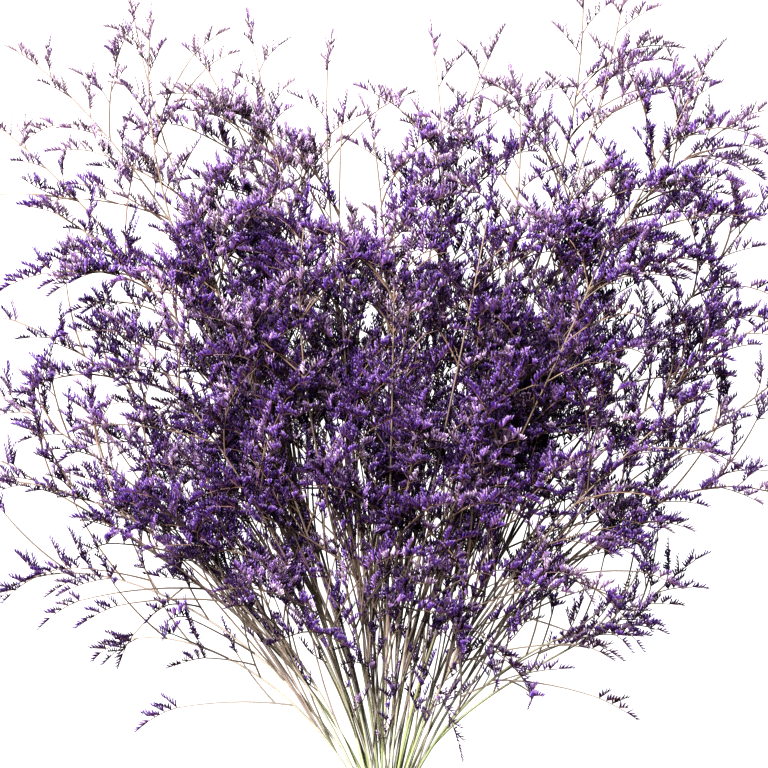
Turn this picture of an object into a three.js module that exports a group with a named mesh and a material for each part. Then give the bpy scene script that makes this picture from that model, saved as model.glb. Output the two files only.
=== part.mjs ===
// Dried statice: a bunch of thirty-six long stems, held by one elastic band near their cut ends,
// lying on its side on a table. Each stem runs bare through the band, fans out, and carries flowering
// branches on its outer two thirds. A branch ends in a row of spikelets, the short one-sided spikes
// that hold the florets. Here a spikelet is one pointed tooth that stands out of its twig.
//
// Frame: millimetres, +Z up from the table, +Y from the cut ends towards the flowering tips, +X to the
// right when looking down. The origin is on the table, under the middle of the bunch.

import * as THREE from "three";

// ---- Driving dimensions ------------------------------------------------------------------------

const CUT_Y = -372; // the stems' cut ends
const BAND_Y = -296; // the middle of the elastic band
const BAND_LENGTH = 10; // along the stems
const BAND_THICKNESS = 1.4;
const BAND_INNER = { halfWidth: 18.4, halfHeight: 7.3 }; // the oval that the stems fill
const BAND_MARGIN = 1.5; // how far the stems run straight past each edge of the band
const BAND_STEPS = 24; // flats round the oval

const STEM_PITCH = 3.2; // from stem to stem where the band holds them
const ROW_PITCH = 2.85; // from row to row there
const STEM_RADIUS = { foot: 1.4, tip: 0.75 };
const BRANCH_RADIUS = { foot: 0.72, tip: 0.5 };
const TWIG_RADIUS = { foot: 0.55, tip: 0.45 };
const COLLAR = 3.2; // the length of a limb's side that a shoot grows from
const SPIKELET = {
  height: 12,
  shrink: 0.4, // how much shorter it gets towards the end of a limb
  lean: 0.9, // of its segment, how far forward its tip stands
  splay: 0.45, // radians to the left and right of the crest
  end: 6, // the length of the one at the end of a limb
};

const LEAVING = { turn: 0.4, share: 0.36 }; // how a stem leaves the band, of its bearing and reach
const ARRIVING_SHARE = 0.3; // the share of its reach over which a stem turns to its tip's heading
const TAIL_SPREAD = 1.35; // how far the cut ends open out again below the band
const CLEARANCE = 5.5; // between the middle lines of two limbs
const JOINT_REACH = 16; // how far from its joint a shoot is still close to its parent

// Side shoots. Angles to the parent and tilts out of its plane in radians, lengths in millimetres.
const BRANCH = {
  count: 5,
  stray: 0.2, // of the way from one branch to the next
  last: 0.86, // the share of the stem at which the last one leaves
  leaving: 0.62,
  arching: 0.95,
  length: 104,
  taper: 0.42, // how much shorter the last one is
  tilt: 0.5,
  segments: 6,
  bare: 2,
  radius: BRANCH_RADIUS,
};
const TWIG = {
  count: 2,
  station: 1, // of the branch, where it leaves it
  leaving: 0.75,
  arching: 0.95,
  length: 60,
  taper: 0,
  tilt: 0.5,
  segments: 6,
  bare: 2,
  radius: TWIG_RADIUS,
};
const TRIES = 9; // ways that a branch or twig is turned to find room
const TURN = 0.7; // radians from one way to the next

// Every stem, row by row from the table up, and from left to right in a row. A stem is
// [x, y, heading]: where its tip is, and the way that the tip points, in degrees from +Y to the right.
const ROWS = [
  {
    tipHeight: 1.8,
    arch: 14,
    firstBranch: 0.4,
    stems: [
      [-304, -104, -112],
      [-319, -3, -60],
      [-310, 115, -70],
      [-297, 334, -50],
      [-149, 327, -30],
      [90, 340, 25],
      [305, 288, 60],
      [244, -98, 45],
    ],
  },
  {
    tipHeight: 46,
    arch: 6,
    firstBranch: 0.38,
    stems: [
      [-211, -148, -102],
      [-314, 53, -60],
      [-308, 267, -50],
      [-203, 358, -10],
      [-107, 340, -12],
      [-46, 323, 2],
      [41, 329, -8],
      [162, 374, 0],
      [312, 215, 35],
      [316, 61, 52],
      [314, -26, 105],
    ],
  },
  {
    tipHeight: 92,
    arch: 4,
    firstBranch: 0.34,
    stems: [
      [-297, -16, -85],
      [-260, 197, -60],
      [-185, 333, 5],
      [-33, 268, 4],
      [-8, 254, -8],
      [106, 287, -5],
      [188, 362, 10],
      [251, 308, 25],
      [305, 112, 60],
      [202, -131, 95],
    ],
  },
  {
    tipHeight: 134,
    arch: 2,
    firstBranch: 0.3,
    stems: [
      [-195, 103, -40],
      [-141, 180, -15],
      [-61, 184, 8],
      [8, 191, 0],
      [81, 199, 10],
      [175, 180, 20],
      [235, 49, 50],
    ],
  },
];

const STEM_SPIKELETS = 4; // on the stem itself, past its last branch
const BARE_STATIONS = [0.3, 0.65]; // of the stem from the band to its first branch
const BAND_MIDDLE = BAND_INNER.halfHeight + BAND_THICKNESS; // its height over the table

const COLOUR = { spray: "#5b3d94", band: "#b79a6c" };

// ---- Small helpers -----------------------------------------------------------------------------

const UP = new THREE.Vector3(0, 0, 1);
const ALONG = new THREE.Vector3(0, 1, 0);

const mix = (from, to, share) => from + (to - from) * share;

// The part of a vector that is square to a direction, at unit length.
const squareTo = (vector, direction) =>
  vector.clone().addScaledVector(direction, -vector.dot(direction)).normalize();

// A level direction, from its heading in radians.
const levelWay = (heading) => new THREE.Vector3(Math.sin(heading), Math.cos(heading), 0);

// The same draws on every run: a Lehmer generator.
class Dice {
  constructor(seed) {
    this.state = seed;
  }

  between(low, high) {
    this.state = (this.state * 48271) % 2147483647;
    return mix(low, high, this.state / 2147483647);
  }
}

// The space that the sprays take, as points along their limbs, so that none grows through another.
class Thicket {
  constructor() {
    this.points = [];
  }

  add(points, spray) {
    for (const point of points) this.points.push({ point, spray });
  }

  // Near its joint a shoot may be close to its own spray, but not to any other.
  hasRoomFor(points, spray, joint) {
    return points.every(
      (point) =>
        point.z > BRANCH_RADIUS.foot &&
        this.points.every(
          (taken) =>
            taken.point.distanceTo(point) > CLEARANCE ||
            (taken.spray === spray && point.distanceTo(joint) < JOINT_REACH),
        ),
    );
  }
}

// ---- Skin --------------------------------------------------------------------------------------
// A limb is a stem, a branch or a twig: { stations, radius, bare, shoots }. A station is { at, way, crest }:
// where it is, which way the limb runs there and which way its spikelets stand. The segments from `bare` on
// each raise one spikelet, and shoots[i] is the limb that leaves segment i.

// One closed skin of triangles, grown along a limb and out along its shoots. A ring is three vertices, in
// the order that faces along its limb.
class Skin {
  constructor() {
    this.points = [];
    this.triangles = [];
  }

  vertex(point) {
    this.points.push(point);
    return this.points.length - 1;
  }

  ring({ at, way, crest }, radius) {
    const across = new THREE.Vector3().crossVectors(way, crest);
    const corner = (sideways, up) =>
      this.vertex(at.clone().addScaledVector(across, sideways).addScaledVector(crest, up));
    const [halfSide, inner] = [(radius * Math.sqrt(3)) / 2, radius / 2];
    return [corner(halfSide, -inner), corner(-halfSide, -inner), corner(0, radius)];
  }

  fan(vertices, tip) {
    vertices.forEach((vertex, i) => {
      this.triangles.push([vertex, vertices[(i + 1) % vertices.length], tip]);
    });
  }

  // One side of a sleeve, folded along the diagonal that bulges out.
  side(back, front, i) {
    const j = (i + 1) % 3;
    const [a, b, c, d] = [back[i], back[j], front[j], front[i]];
    const rise = this.points[d].clone().sub(this.points[a]).dot(this.normal([a, b, c]));
    if (rise > 0) this.triangles.push([a, b, d], [b, c, d]);
    else this.triangles.push([a, b, c], [a, c, d]);
  }

  sleeve(back, front) {
    for (let i = 0; i < 3; i += 1) this.side(back, front, i);
  }

  // A sleeve whose two upper sides rise to a spikelet's tip.
  spikedSleeve(back, front, tip) {
    this.side(back, front, 0);
    const rim = [back[1], back[2], back[0], front[0], front[2], front[1]];
    this.fan(rim, this.vertex(tip));
  }

  // A sleeve that a shoot leaves: the triangle that faces the shoot most squarely is left open for it.
  openSleeve(back, front, way) {
    const before = this.triangles.length;
    this.sleeve(back, front);
    const facing = this.triangles.slice(before).map((triangle) => this.normal(triangle).dot(way));
    return this.triangles.splice(before + facing.indexOf(Math.max(...facing)), 1)[0];
  }

  normal(triangle) {
    const corners = triangle.map((vertex) => this.points[vertex]);
    return new THREE.Triangle(...corners).getNormal(new THREE.Vector3());
  }

  // The same ring, started at the corner that twists it least against the next one.
  aligned(ring, next) {
    const centre = (vertices) =>
      vertices.reduce((sum, v) => sum.add(this.points[v]), new THREE.Vector3()).divideScalar(3);
    const [from, to] = [centre(ring), centre(next)];
    const spokes = (vertices, hub) => vertices.map((v) => this.points[v].clone().sub(hub).normalize());
    const [inner, outer] = [spokes(ring, from), spokes(next, to)];
    const fits = [0, 1, 2].map((turn) =>
      outer.reduce((sum, spoke, i) => sum + spoke.dot(inner[(i + turn) % 3]), 0),
    );
    const turn = fits.indexOf(Math.max(...fits));
    return ring.map((_, i) => ring[(i + turn) % 3]);
  }

  grow({ stations, radius, bare, shoots }, foot) {
    const last = stations.length - 1;
    const rings = stations.map((station, i) =>
      foot && i === 0 ? foot : this.ring(station, mix(radius.foot, radius.tip, i / last)),
    );
    if (foot) rings[0] = this.aligned(foot, rings[1]);
    else this.triangles.push([...rings[0]].reverse());
    for (let i = 0; i < last; i += 1) {
      const [back, front] = [rings[i], rings[i + 1]];
      if (shoots[i]) this.grow(shoots[i], this.openSleeve(back, front, shoots[i].stations[0].way));
      else if (i < bare) this.sleeve(back, front);
      else this.spikedSleeve(back, front, spikeletTip(stations[i], stations[i + 1], i / last, i));
    }
    this.fan(rings[last], this.vertex(apexOf(stations)));
  }

  geometry() {
    const geometry = new THREE.BufferGeometry().setFromPoints(this.points);
    geometry.setIndex(this.triangles.flat());
    geometry.computeVertexNormals();
    return geometry;
  }
}

// Spikelets lean forward and splay to the left and right by turns, and get shorter towards the tip.
function spikeletTip(from, to, share, i) {
  const height = SPIKELET.height * (1 - SPIKELET.shrink * share);
  const splay = SPIKELET.splay * (i % 2 ? 1 : -1);
  const crest = from.crest.clone().add(to.crest).normalize();
  const way = to.at.clone().sub(from.at).normalize();
  return from.at
    .clone()
    .lerp(to.at, SPIKELET.lean)
    .addScaledVector(crest.applyAxisAngle(way, splay), height);
}

// The last spikelet points straight on.
function apexOf(stations) {
  const { at, way } = stations.at(-1);
  return at.clone().addScaledVector(way, SPIKELET.end);
}

// ---- Growth ------------------------------------------------------------------------------------

// Where a row's stem leaves the band, across and up.
function slotInBand(row, place) {
  const across = (place - (ROWS[row].stems.length - 1) / 2) * STEM_PITCH;
  const up = (row - (ROWS.length - 1) / 2) * ROW_PITCH;
  return new THREE.Vector3(across, BAND_Y + BAND_LENGTH / 2 + BAND_MARGIN, BAND_MIDDLE + up);
}

// The stem's line from the band to its tip.
function stemCurve(row, place) {
  const [x, y, degrees] = ROWS[row].stems[place];
  const foot = slotInBand(row, place);
  const bearing = Math.atan2(x - foot.x, y - foot.y);
  const edge = Math.abs(bearing) / (Math.PI / 3);
  const tip = new THREE.Vector3(x, y, ROWS[row].tipHeight * (1 - 0.35 * edge * edge));
  const reach = foot.distanceTo(tip);
  const leaving = foot
    .clone()
    .addScaledVector(levelWay(bearing * LEAVING.turn), reach * LEAVING.share);
  leaving.z = mix(foot.z, tip.z, 0.2);
  const arriving = tip
    .clone()
    .addScaledVector(levelWay(THREE.MathUtils.degToRad(degrees)), -reach * ARRIVING_SHARE);
  arriving.z = tip.z + ROWS[row].arch;
  return new THREE.CubicBezierCurve3(foot, leaving, arriving, tip);
}

// The side of a stem that faces the light: the upper side of the arch that it makes.
const lightSide = (way) => (way.x < 0 ? 1 : -1);

function stemStation(curve, share) {
  const at = curve.getPoint(share);
  const way = curve.getTangent(share);
  const right = new THREE.Vector3().crossVectors(way, UP).normalize();
  const turned = 1.2 * THREE.MathUtils.smoothstep(share, 0, 1) * lightSide(curve.getTangent(1));
  const crest = squareTo(UP, way).multiplyScalar(Math.cos(turned));
  return { at, way, crest: squareTo(crest.addScaledVector(right, Math.sin(turned)), way) };
}

// The shares of a stem's curve at which its branches leave it.
const branchShares = (row, dice) =>
  Array.from({ length: BRANCH.count }, (_, i) => {
    const step = (i + dice.between(-BRANCH.stray, BRANCH.stray)) / (BRANCH.count - 1);
    return mix(ROWS[row].firstBranch, BRANCH.last, THREE.MathUtils.clamp(step, 0, 1));
  });

// A side shoot from a parent's station: it leaves at one angle to it and arches out to another.
function sideShoot(parent, side, form, length, tilt) {
  const right = new THREE.Vector3().crossVectors(parent.way, UP).normalize();
  const up = squareTo(UP, parent.way);
  const out = right.multiplyScalar(side * Math.cos(tilt)).addScaledVector(up, Math.sin(tilt));
  const wayAt = (angle) =>
    parent.way.clone().multiplyScalar(Math.cos(angle)).addScaledVector(out, Math.sin(angle));
  const bend = parent.at.clone().addScaledVector(wayAt(form.leaving), length / 2);
  const tip = bend.clone().addScaledVector(wayAt(form.arching), length / 2);
  const curve = new THREE.QuadraticBezierCurve3(parent.at, bend, tip);
  const light = parent.way.clone().addScaledVector(ALONG, 0.5).addScaledVector(UP, 0.7);
  const station = (share) => {
    const way = curve.getTangent(share);
    return { at: curve.getPoint(share), way, crest: squareTo(light, way) };
  };
  const stations = Array.from({ length: form.segments + 1 }, (_, i) => station(i / form.segments));
  return { stations, station, length };
}

// The points by which the thicket knows a shoot: its line and its spikelets.
function markersOf(stations, bare) {
  const last = stations.length - 1;
  const markers = [apexOf(stations)];
  for (let i = 1; i <= last; i += 1) {
    const [before, { at, crest }] = [stations[i - 1], stations[i]];
    for (const share of [0.33, 0.67, 1]) markers.push(before.at.clone().lerp(at, share));
    if (i <= bare) continue;
    markers.push(spikeletTip(before, stations[i], (i - 1) / last, i - 1));
    markers.push(at.clone().addScaledVector(crest, SPIKELET.height / 2));
  }
  return markers;
}

// Turns a shoot about its parent until it has room, or gives it up.
function growShoot(thicket, spray, parent, side, form, age, dice) {
  const length = form.length * (1 - form.taper * age) * dice.between(0.85, 1.15);
  const tilt = dice.between(-form.tilt, form.tilt);
  for (let turn = 0; turn < TRIES; turn += 1) {
    const turned = tilt + TURN * Math.ceil(turn / 2) * (turn % 2 ? 1 : -1);
    const shoot = sideShoot(parent, side, form, length, turned);
    const markers = markersOf(shoot.stations, form.bare);
    if (!thicket.hasRoomFor(markers, spray, parent.at)) continue;
    thicket.add(markers, spray);
    return { ...shoot, side, radius: form.radius, bare: form.bare, shoots: [] };
  }
  return null;
}

// The branches stand by turns on both sides of the stem. Where it arches over, they keep to its light side.
function growBranches(thicket, spray, curve, shares, dice) {
  return shares.map((share, i) => {
    const parent = stemStation(curve, share);
    const leaning = Math.abs(parent.way.x) > 0.75;
    const side = leaning ? lightSide(parent.way) : (i + spray) % 2 ? 1 : -1;
    return growShoot(thicket, spray, parent, side, BRANCH, i / shares.length, dice);
  });
}

// Up to TWIG.count of the branches bear a twig on their other side, in the middle of their bare part.
function growTwigs(thicket, spray, branches, dice) {
  let grown = 0;
  for (const branch of branches) {
    if (!branch || grown === TWIG.count) continue;
    const twig = growShoot(
      thicket, spray, branch.stations[TWIG.station], -branch.side, TWIG, 0, dice,
    );
    if (!twig) continue;
    grown += 1;
    const collar = branch.station(TWIG.station / BRANCH.segments + COLLAR / branch.length);
    branch.stations.splice(TWIG.station + 1, 0, collar);
    branch.shoots[TWIG.station] = twig;
    branch.bare += 1;
  }
}

// The stem as a limb: its cut end, the band's lower edge, and its curve from the band's upper edge on.
function stemLimb(curve, shares, branches) {
  const foot = curve.v0;
  const straight = { way: ALONG.clone(), crest: UP.clone() };
  const below = foot.clone().setY(BAND_Y - BAND_LENGTH / 2 - BAND_MARGIN);
  const cut = new THREE.Vector3(foot.x * TAIL_SPREAD, CUT_Y, mix(BAND_MIDDLE, foot.z, TAIL_SPREAD));
  const stations = [cut, below, foot].map((at) => ({ at, ...straight }));
  for (const share of BARE_STATIONS) stations.push(stemStation(curve, share * shares[0]));

  const collar = COLLAR / curve.getLength();
  const shoots = [];
  shares.forEach((share, i) => {
    stations.push(stemStation(curve, share));
    if (!branches[i]) return;
    shoots[stations.length - 1] = branches[i];
    stations.push(stemStation(curve, share + collar));
  });

  const bare = stations.length;
  const headFrom = shares.at(-1) + collar;
  for (let i = 0; i <= STEM_SPIKELETS; i += 1) {
    stations.push(stemStation(curve, mix(headFrom, 1, (i + 0.6) / (STEM_SPIKELETS + 0.6))));
  }
  return { stations, radius: STEM_RADIUS, bare, shoots };
}

// ---- The elastic band --------------------------------------------------------------------------

// An oval ring with softened edges, one flat of it on the table.
function bandGeometry() {
  const half = BAND_LENGTH / 2;
  const profile = [
    [0, -half], [0, half], [0.7, half], [1, half * 0.7], [1, -half * 0.7], [0.7, -half],
  ]; // [share of the thickness, along]
  const positions = [];
  const triangles = [];
  const flat = Math.cos(Math.PI / BAND_STEPS);
  for (let step = 0; step < BAND_STEPS; step += 1) {
    const angle = (2 * Math.PI * (step + 0.5)) / BAND_STEPS;
    for (const [out, along] of profile) {
      const halfWidth = (BAND_INNER.halfWidth + BAND_THICKNESS * out) / flat;
      const halfHeight = (BAND_INNER.halfHeight + BAND_THICKNESS * out) / flat;
      positions.push(
        halfWidth * Math.sin(angle), BAND_Y + along, BAND_MIDDLE - halfHeight * Math.cos(angle),
      );
    }
  }
  const around = profile.length;
  for (let step = 0; step < BAND_STEPS; step += 1) {
    const next = (step + 1) % BAND_STEPS;
    for (let i = 0; i < around; i += 1) {
      const j = (i + 1) % around;
      const [a, b] = [step * around + i, step * around + j];
      const [c, d] = [next * around + i, next * around + j];
      triangles.push(a, d, b, a, c, d);
    }
  }
  const geometry = new THREE.BufferGeometry();
  geometry.setAttribute("position", new THREE.Float32BufferAttribute(positions, 3));
  geometry.setIndex(triangles);
  geometry.computeVertexNormals();
  return geometry;
}

// ---- Assembly ----------------------------------------------------------------------------------

const bunch = new THREE.Group();
const sprayMaterial = new THREE.MeshStandardMaterial({
  color: COLOUR.spray, roughness: 0.85, metalness: 0, flatShading: true,
});
const bandMaterial = new THREE.MeshStandardMaterial({
  color: COLOUR.band, roughness: 0.6, metalness: 0, flatShading: true,
});

function addMesh(name, geometry, material) {
  const mesh = new THREE.Mesh(geometry, material);
  mesh.name = name;
  bunch.add(mesh);
}

const thicket = new Thicket();
const sprays = ROWS.flatMap(({ stems }, row) =>
  stems.map((_, place) => ({ row, curve: stemCurve(row, place) })),
);

sprays.forEach((spray, number) => {
  thicket.add(spray.curve.getPoints(160).slice(24), number);
  spray.dice = new Dice(101 + 37 * number);
  spray.shares = branchShares(spray.row, spray.dice);
});
sprays.forEach((spray, number) => {
  spray.branches = growBranches(thicket, number, spray.curve, spray.shares, spray.dice);
});
sprays.forEach((spray, number) => growTwigs(thicket, number, spray.branches, spray.dice));

sprays.forEach(({ curve, shares, branches }, number) => {
  const skin = new Skin();
  skin.grow(stemLimb(curve, shares, branches));
  addMesh(`spray_${String(number + 1).padStart(2, "0")}`, skin.geometry(), sprayMaterial);
});
addMesh("band", bandGeometry(), bandMaterial);

export default bunch;
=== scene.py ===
"""Dried statice: thirty-six dyed sprays held by one elastic band, lying on a table.

Each spray is one piece: a bare stem that runs through the band and fans out, branches on its outer
two thirds, sprigs on the branches, and one-sided combs of small papery florets on the sprigs. Stems
and branches run where the CAD solids have theirs. Lengths are millimetres and angles are radians
where no comment says otherwise, with +Z up from the table and +Y from the cut ends to the flowering
tips. Lengths become metres where a mesh is made.
"""

import logging
import math
from dataclasses import dataclass, field
from enum import Enum

import bpy
import numpy as np
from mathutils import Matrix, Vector


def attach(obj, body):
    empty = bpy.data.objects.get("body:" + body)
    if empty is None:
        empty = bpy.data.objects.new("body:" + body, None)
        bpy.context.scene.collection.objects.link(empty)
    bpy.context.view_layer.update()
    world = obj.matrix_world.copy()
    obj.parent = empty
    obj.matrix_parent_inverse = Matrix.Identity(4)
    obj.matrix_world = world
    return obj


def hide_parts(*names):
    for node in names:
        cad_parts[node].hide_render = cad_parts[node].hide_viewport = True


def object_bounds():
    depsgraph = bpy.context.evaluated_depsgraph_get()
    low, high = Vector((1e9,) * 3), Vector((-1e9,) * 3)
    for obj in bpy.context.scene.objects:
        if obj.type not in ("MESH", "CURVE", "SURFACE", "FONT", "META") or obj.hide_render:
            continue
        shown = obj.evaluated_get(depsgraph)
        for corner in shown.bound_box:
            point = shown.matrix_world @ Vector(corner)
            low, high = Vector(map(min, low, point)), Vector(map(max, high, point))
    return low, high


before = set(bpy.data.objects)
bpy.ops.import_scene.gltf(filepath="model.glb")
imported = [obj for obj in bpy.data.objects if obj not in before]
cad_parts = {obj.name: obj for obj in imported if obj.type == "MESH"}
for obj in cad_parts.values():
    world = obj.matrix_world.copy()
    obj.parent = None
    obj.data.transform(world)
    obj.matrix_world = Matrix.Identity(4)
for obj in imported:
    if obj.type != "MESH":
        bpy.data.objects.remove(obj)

CAD_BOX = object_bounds()
LOG = logging.getLogger("dried_statice")
MM = 0.001
WALL = 5e-5  # metres that every mesh keeps inside the solids' box
BAKE_MAP = "OFBake"  # the UV map of every spray
DYES = (0.012, 0.985)  # how far across that map the dyes go
PETAL_HALF = 0.008  # half of a petal's width on it
UP = np.array([0.0, 0.0, 1.0])
ALONG = np.array([0.0, 1.0, 0.0])
Span = tuple[float, float]  # from one value to another
Stops = tuple[tuple[float, str], ...]  # a colour ramp: places from 0 to 1, with sRGB hex colours


# ---- Vectors -------------------------------------------------------------------------------------


def unit(vectors: np.ndarray) -> np.ndarray:
    """Vectors at unit length, along the last axis."""
    lengths = np.sqrt((vectors * vectors).sum(-1, keepdims=True))
    return vectors / np.maximum(lengths, 1e-12)


def square_to(vectors: np.ndarray, ways: np.ndarray) -> np.ndarray:
    """The part of each vector that is square to its way, at unit length."""
    return unit(vectors - ways * (vectors * ways).sum(-1, keepdims=True))


def turned(vectors: np.ndarray, axes: np.ndarray, angles: np.ndarray | float) -> np.ndarray:
    """Turns vectors about unit axes.

    Args:
        vectors: What is turned.
        axes: The unit axes that they turn about.
        angles: One angle for all, or one for each.

    Returns:
        The turned vectors.
    """
    angle = np.asarray(angles)[..., None]
    along = axes * (vectors * axes).sum(-1, keepdims=True)
    return along + (vectors - along) * np.cos(angle) + np.cross(axes, vectors) * np.sin(angle)


def aimed(ways: np.ndarray, outs: np.ndarray, angles: np.ndarray | float) -> np.ndarray:
    """Directions that lean from some ways, by angles, towards others square to them."""
    angle = np.asarray(angles)[..., None]
    return ways * np.cos(angle) + outs * np.sin(angle)


def to_light(ways: np.ndarray) -> np.ndarray:
    """What the upper side of a shoot turns to, where its parent runs in this way."""
    return ways + ALONG * 0.5 + UP * 0.7


def level_way(heading: float) -> np.ndarray:
    """A level direction, from its heading."""
    return np.array([math.sin(heading), math.cos(heading), 0.0])


def light_side(way: np.ndarray) -> int:
    """The upper side of the arch that a stem makes: 1 for a stem that leans left."""
    return 1 if way[0] < 0 else -1


def smoothstep(values: np.ndarray, low: float, high: float) -> np.ndarray:
    """Rises smoothly from 0 at low to 1 at high."""
    share = np.clip((np.asarray(values) - low) / (high - low), 0, 1)
    return share * share * (3 - 2 * share)


class BezierLine:
    """The middle line of a limb: a Bezier line of three or four control points."""

    def __init__(self, *controls: np.ndarray) -> None:
        """Keeps the control points."""
        self.controls = np.array(controls, float)
        self.degree = len(controls) - 1

    def at(self, share: np.ndarray | float) -> np.ndarray:
        """Finds points on the line.

        Args:
            share: How far along they are, from 0 to 1.

        Returns:
            The points, three numbers each.
        """
        t = np.asarray(share, float)[..., None]
        total = 0.0
        for i, control in enumerate(self.controls):
            weight = math.comb(self.degree, i) * (1 - t) ** (self.degree - i) * t**i
            total = total + weight * control
        return total

    def way(self, share: np.ndarray | float) -> np.ndarray:
        """Unit directions at shares of the line."""
        t = np.asarray(share, float)
        return unit(self.at(np.minimum(t + 1e-4, 1)) - self.at(np.maximum(t - 1e-4, 0)))

    def length(self) -> float:
        """Its length."""
        points = self.at(np.linspace(0, 1, 41))
        return float(np.sqrt((np.diff(points, axis=0) ** 2).sum(1)).sum())


# ---- How the bunch grows -------------------------------------------------------------------------
# These sizes and rules are the CAD solids' own, so that the fine limbs run where the solids do.


class Dice:
    """The same draws on every run: a Lehmer generator."""

    FACTOR, PRIME = 48271, 2147483647

    def __init__(self, seed: int) -> None:
        """Starts from a seed."""
        self.state = seed

    def between(self, low: float, high: float) -> float:
        """One draw between two numbers."""
        self.state = (self.state * self.FACTOR) % self.PRIME
        return low + (high - low) * self.state / self.PRIME


@dataclass(frozen=True)
class StemRow:
    """One layer of stems, from the table up, and from left to right in it.

    A stem is (x, y, heading): where its tip is, and the way that it points, in degrees from +Y.
    """

    tip_height: float
    arch: float
    first_branch: float  # the share of a stem at which its first branch leaves it
    stems: tuple[tuple[float, float, float], ...]


@dataclass(frozen=True)
class ShootForm:
    """How a side shoot grows, with its angles to its parent at the joint and at the tip."""

    leaving: float
    arching: float
    length: float
    taper: float  # how much shorter it is on the stem's end


@dataclass
class Station:
    """A place on a limb: where it is, which way the limb runs, and its upper side."""

    at: np.ndarray
    way: np.ndarray
    crest: np.ndarray


@dataclass
class Shoot:
    """A branch or a twig that the solids have too."""

    line: BezierLine
    side: int
    light: np.ndarray
    stations: list[Station]


@dataclass
class Limbs:
    """One spray's stem, with the branches and twigs that its solid has."""

    number: int
    row: int
    line: BezierLine
    shares: list[float]
    dice: Dice
    branches: list[Shoot] = field(default_factory=list)
    twigs: list[Shoot] = field(default_factory=list)


@dataclass
class Thicket:
    """The space that the limbs take, as points along them, so that none grows through another."""

    clearance: float
    joint_reach: float
    lowest: float
    points: np.ndarray = field(default_factory=lambda: np.zeros((0, 3)))
    sprays: np.ndarray = field(default_factory=lambda: np.zeros(0, int))

    def add(self, points: np.ndarray, spray: int) -> None:
        """Takes the space of a limb."""
        self.points = np.concatenate([self.points, points])
        self.sprays = np.concatenate([self.sprays, np.full(len(points), spray)])

    def has_room_for(self, points: np.ndarray, spray: int, joint: np.ndarray) -> bool:
        """Tells whether a shoot has room. Near its joint it may be close to its own spray.

        Args:
            points: The points along it.
            spray: The number of its spray.
            joint: The place where it leaves its parent.

        Returns:
            True where nothing is in its way.
        """
        if points[:, 2].min() <= self.lowest:
            return False
        apart = np.sqrt(((points[:, None] - self.points[None]) ** 2).sum(-1))
        near_joint = np.sqrt(((points - joint) ** 2).sum(-1)) < self.joint_reach
        own = near_joint[:, None] & (self.sprays == spray)[None]
        return bool(((apart > self.clearance) | own).all())


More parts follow.
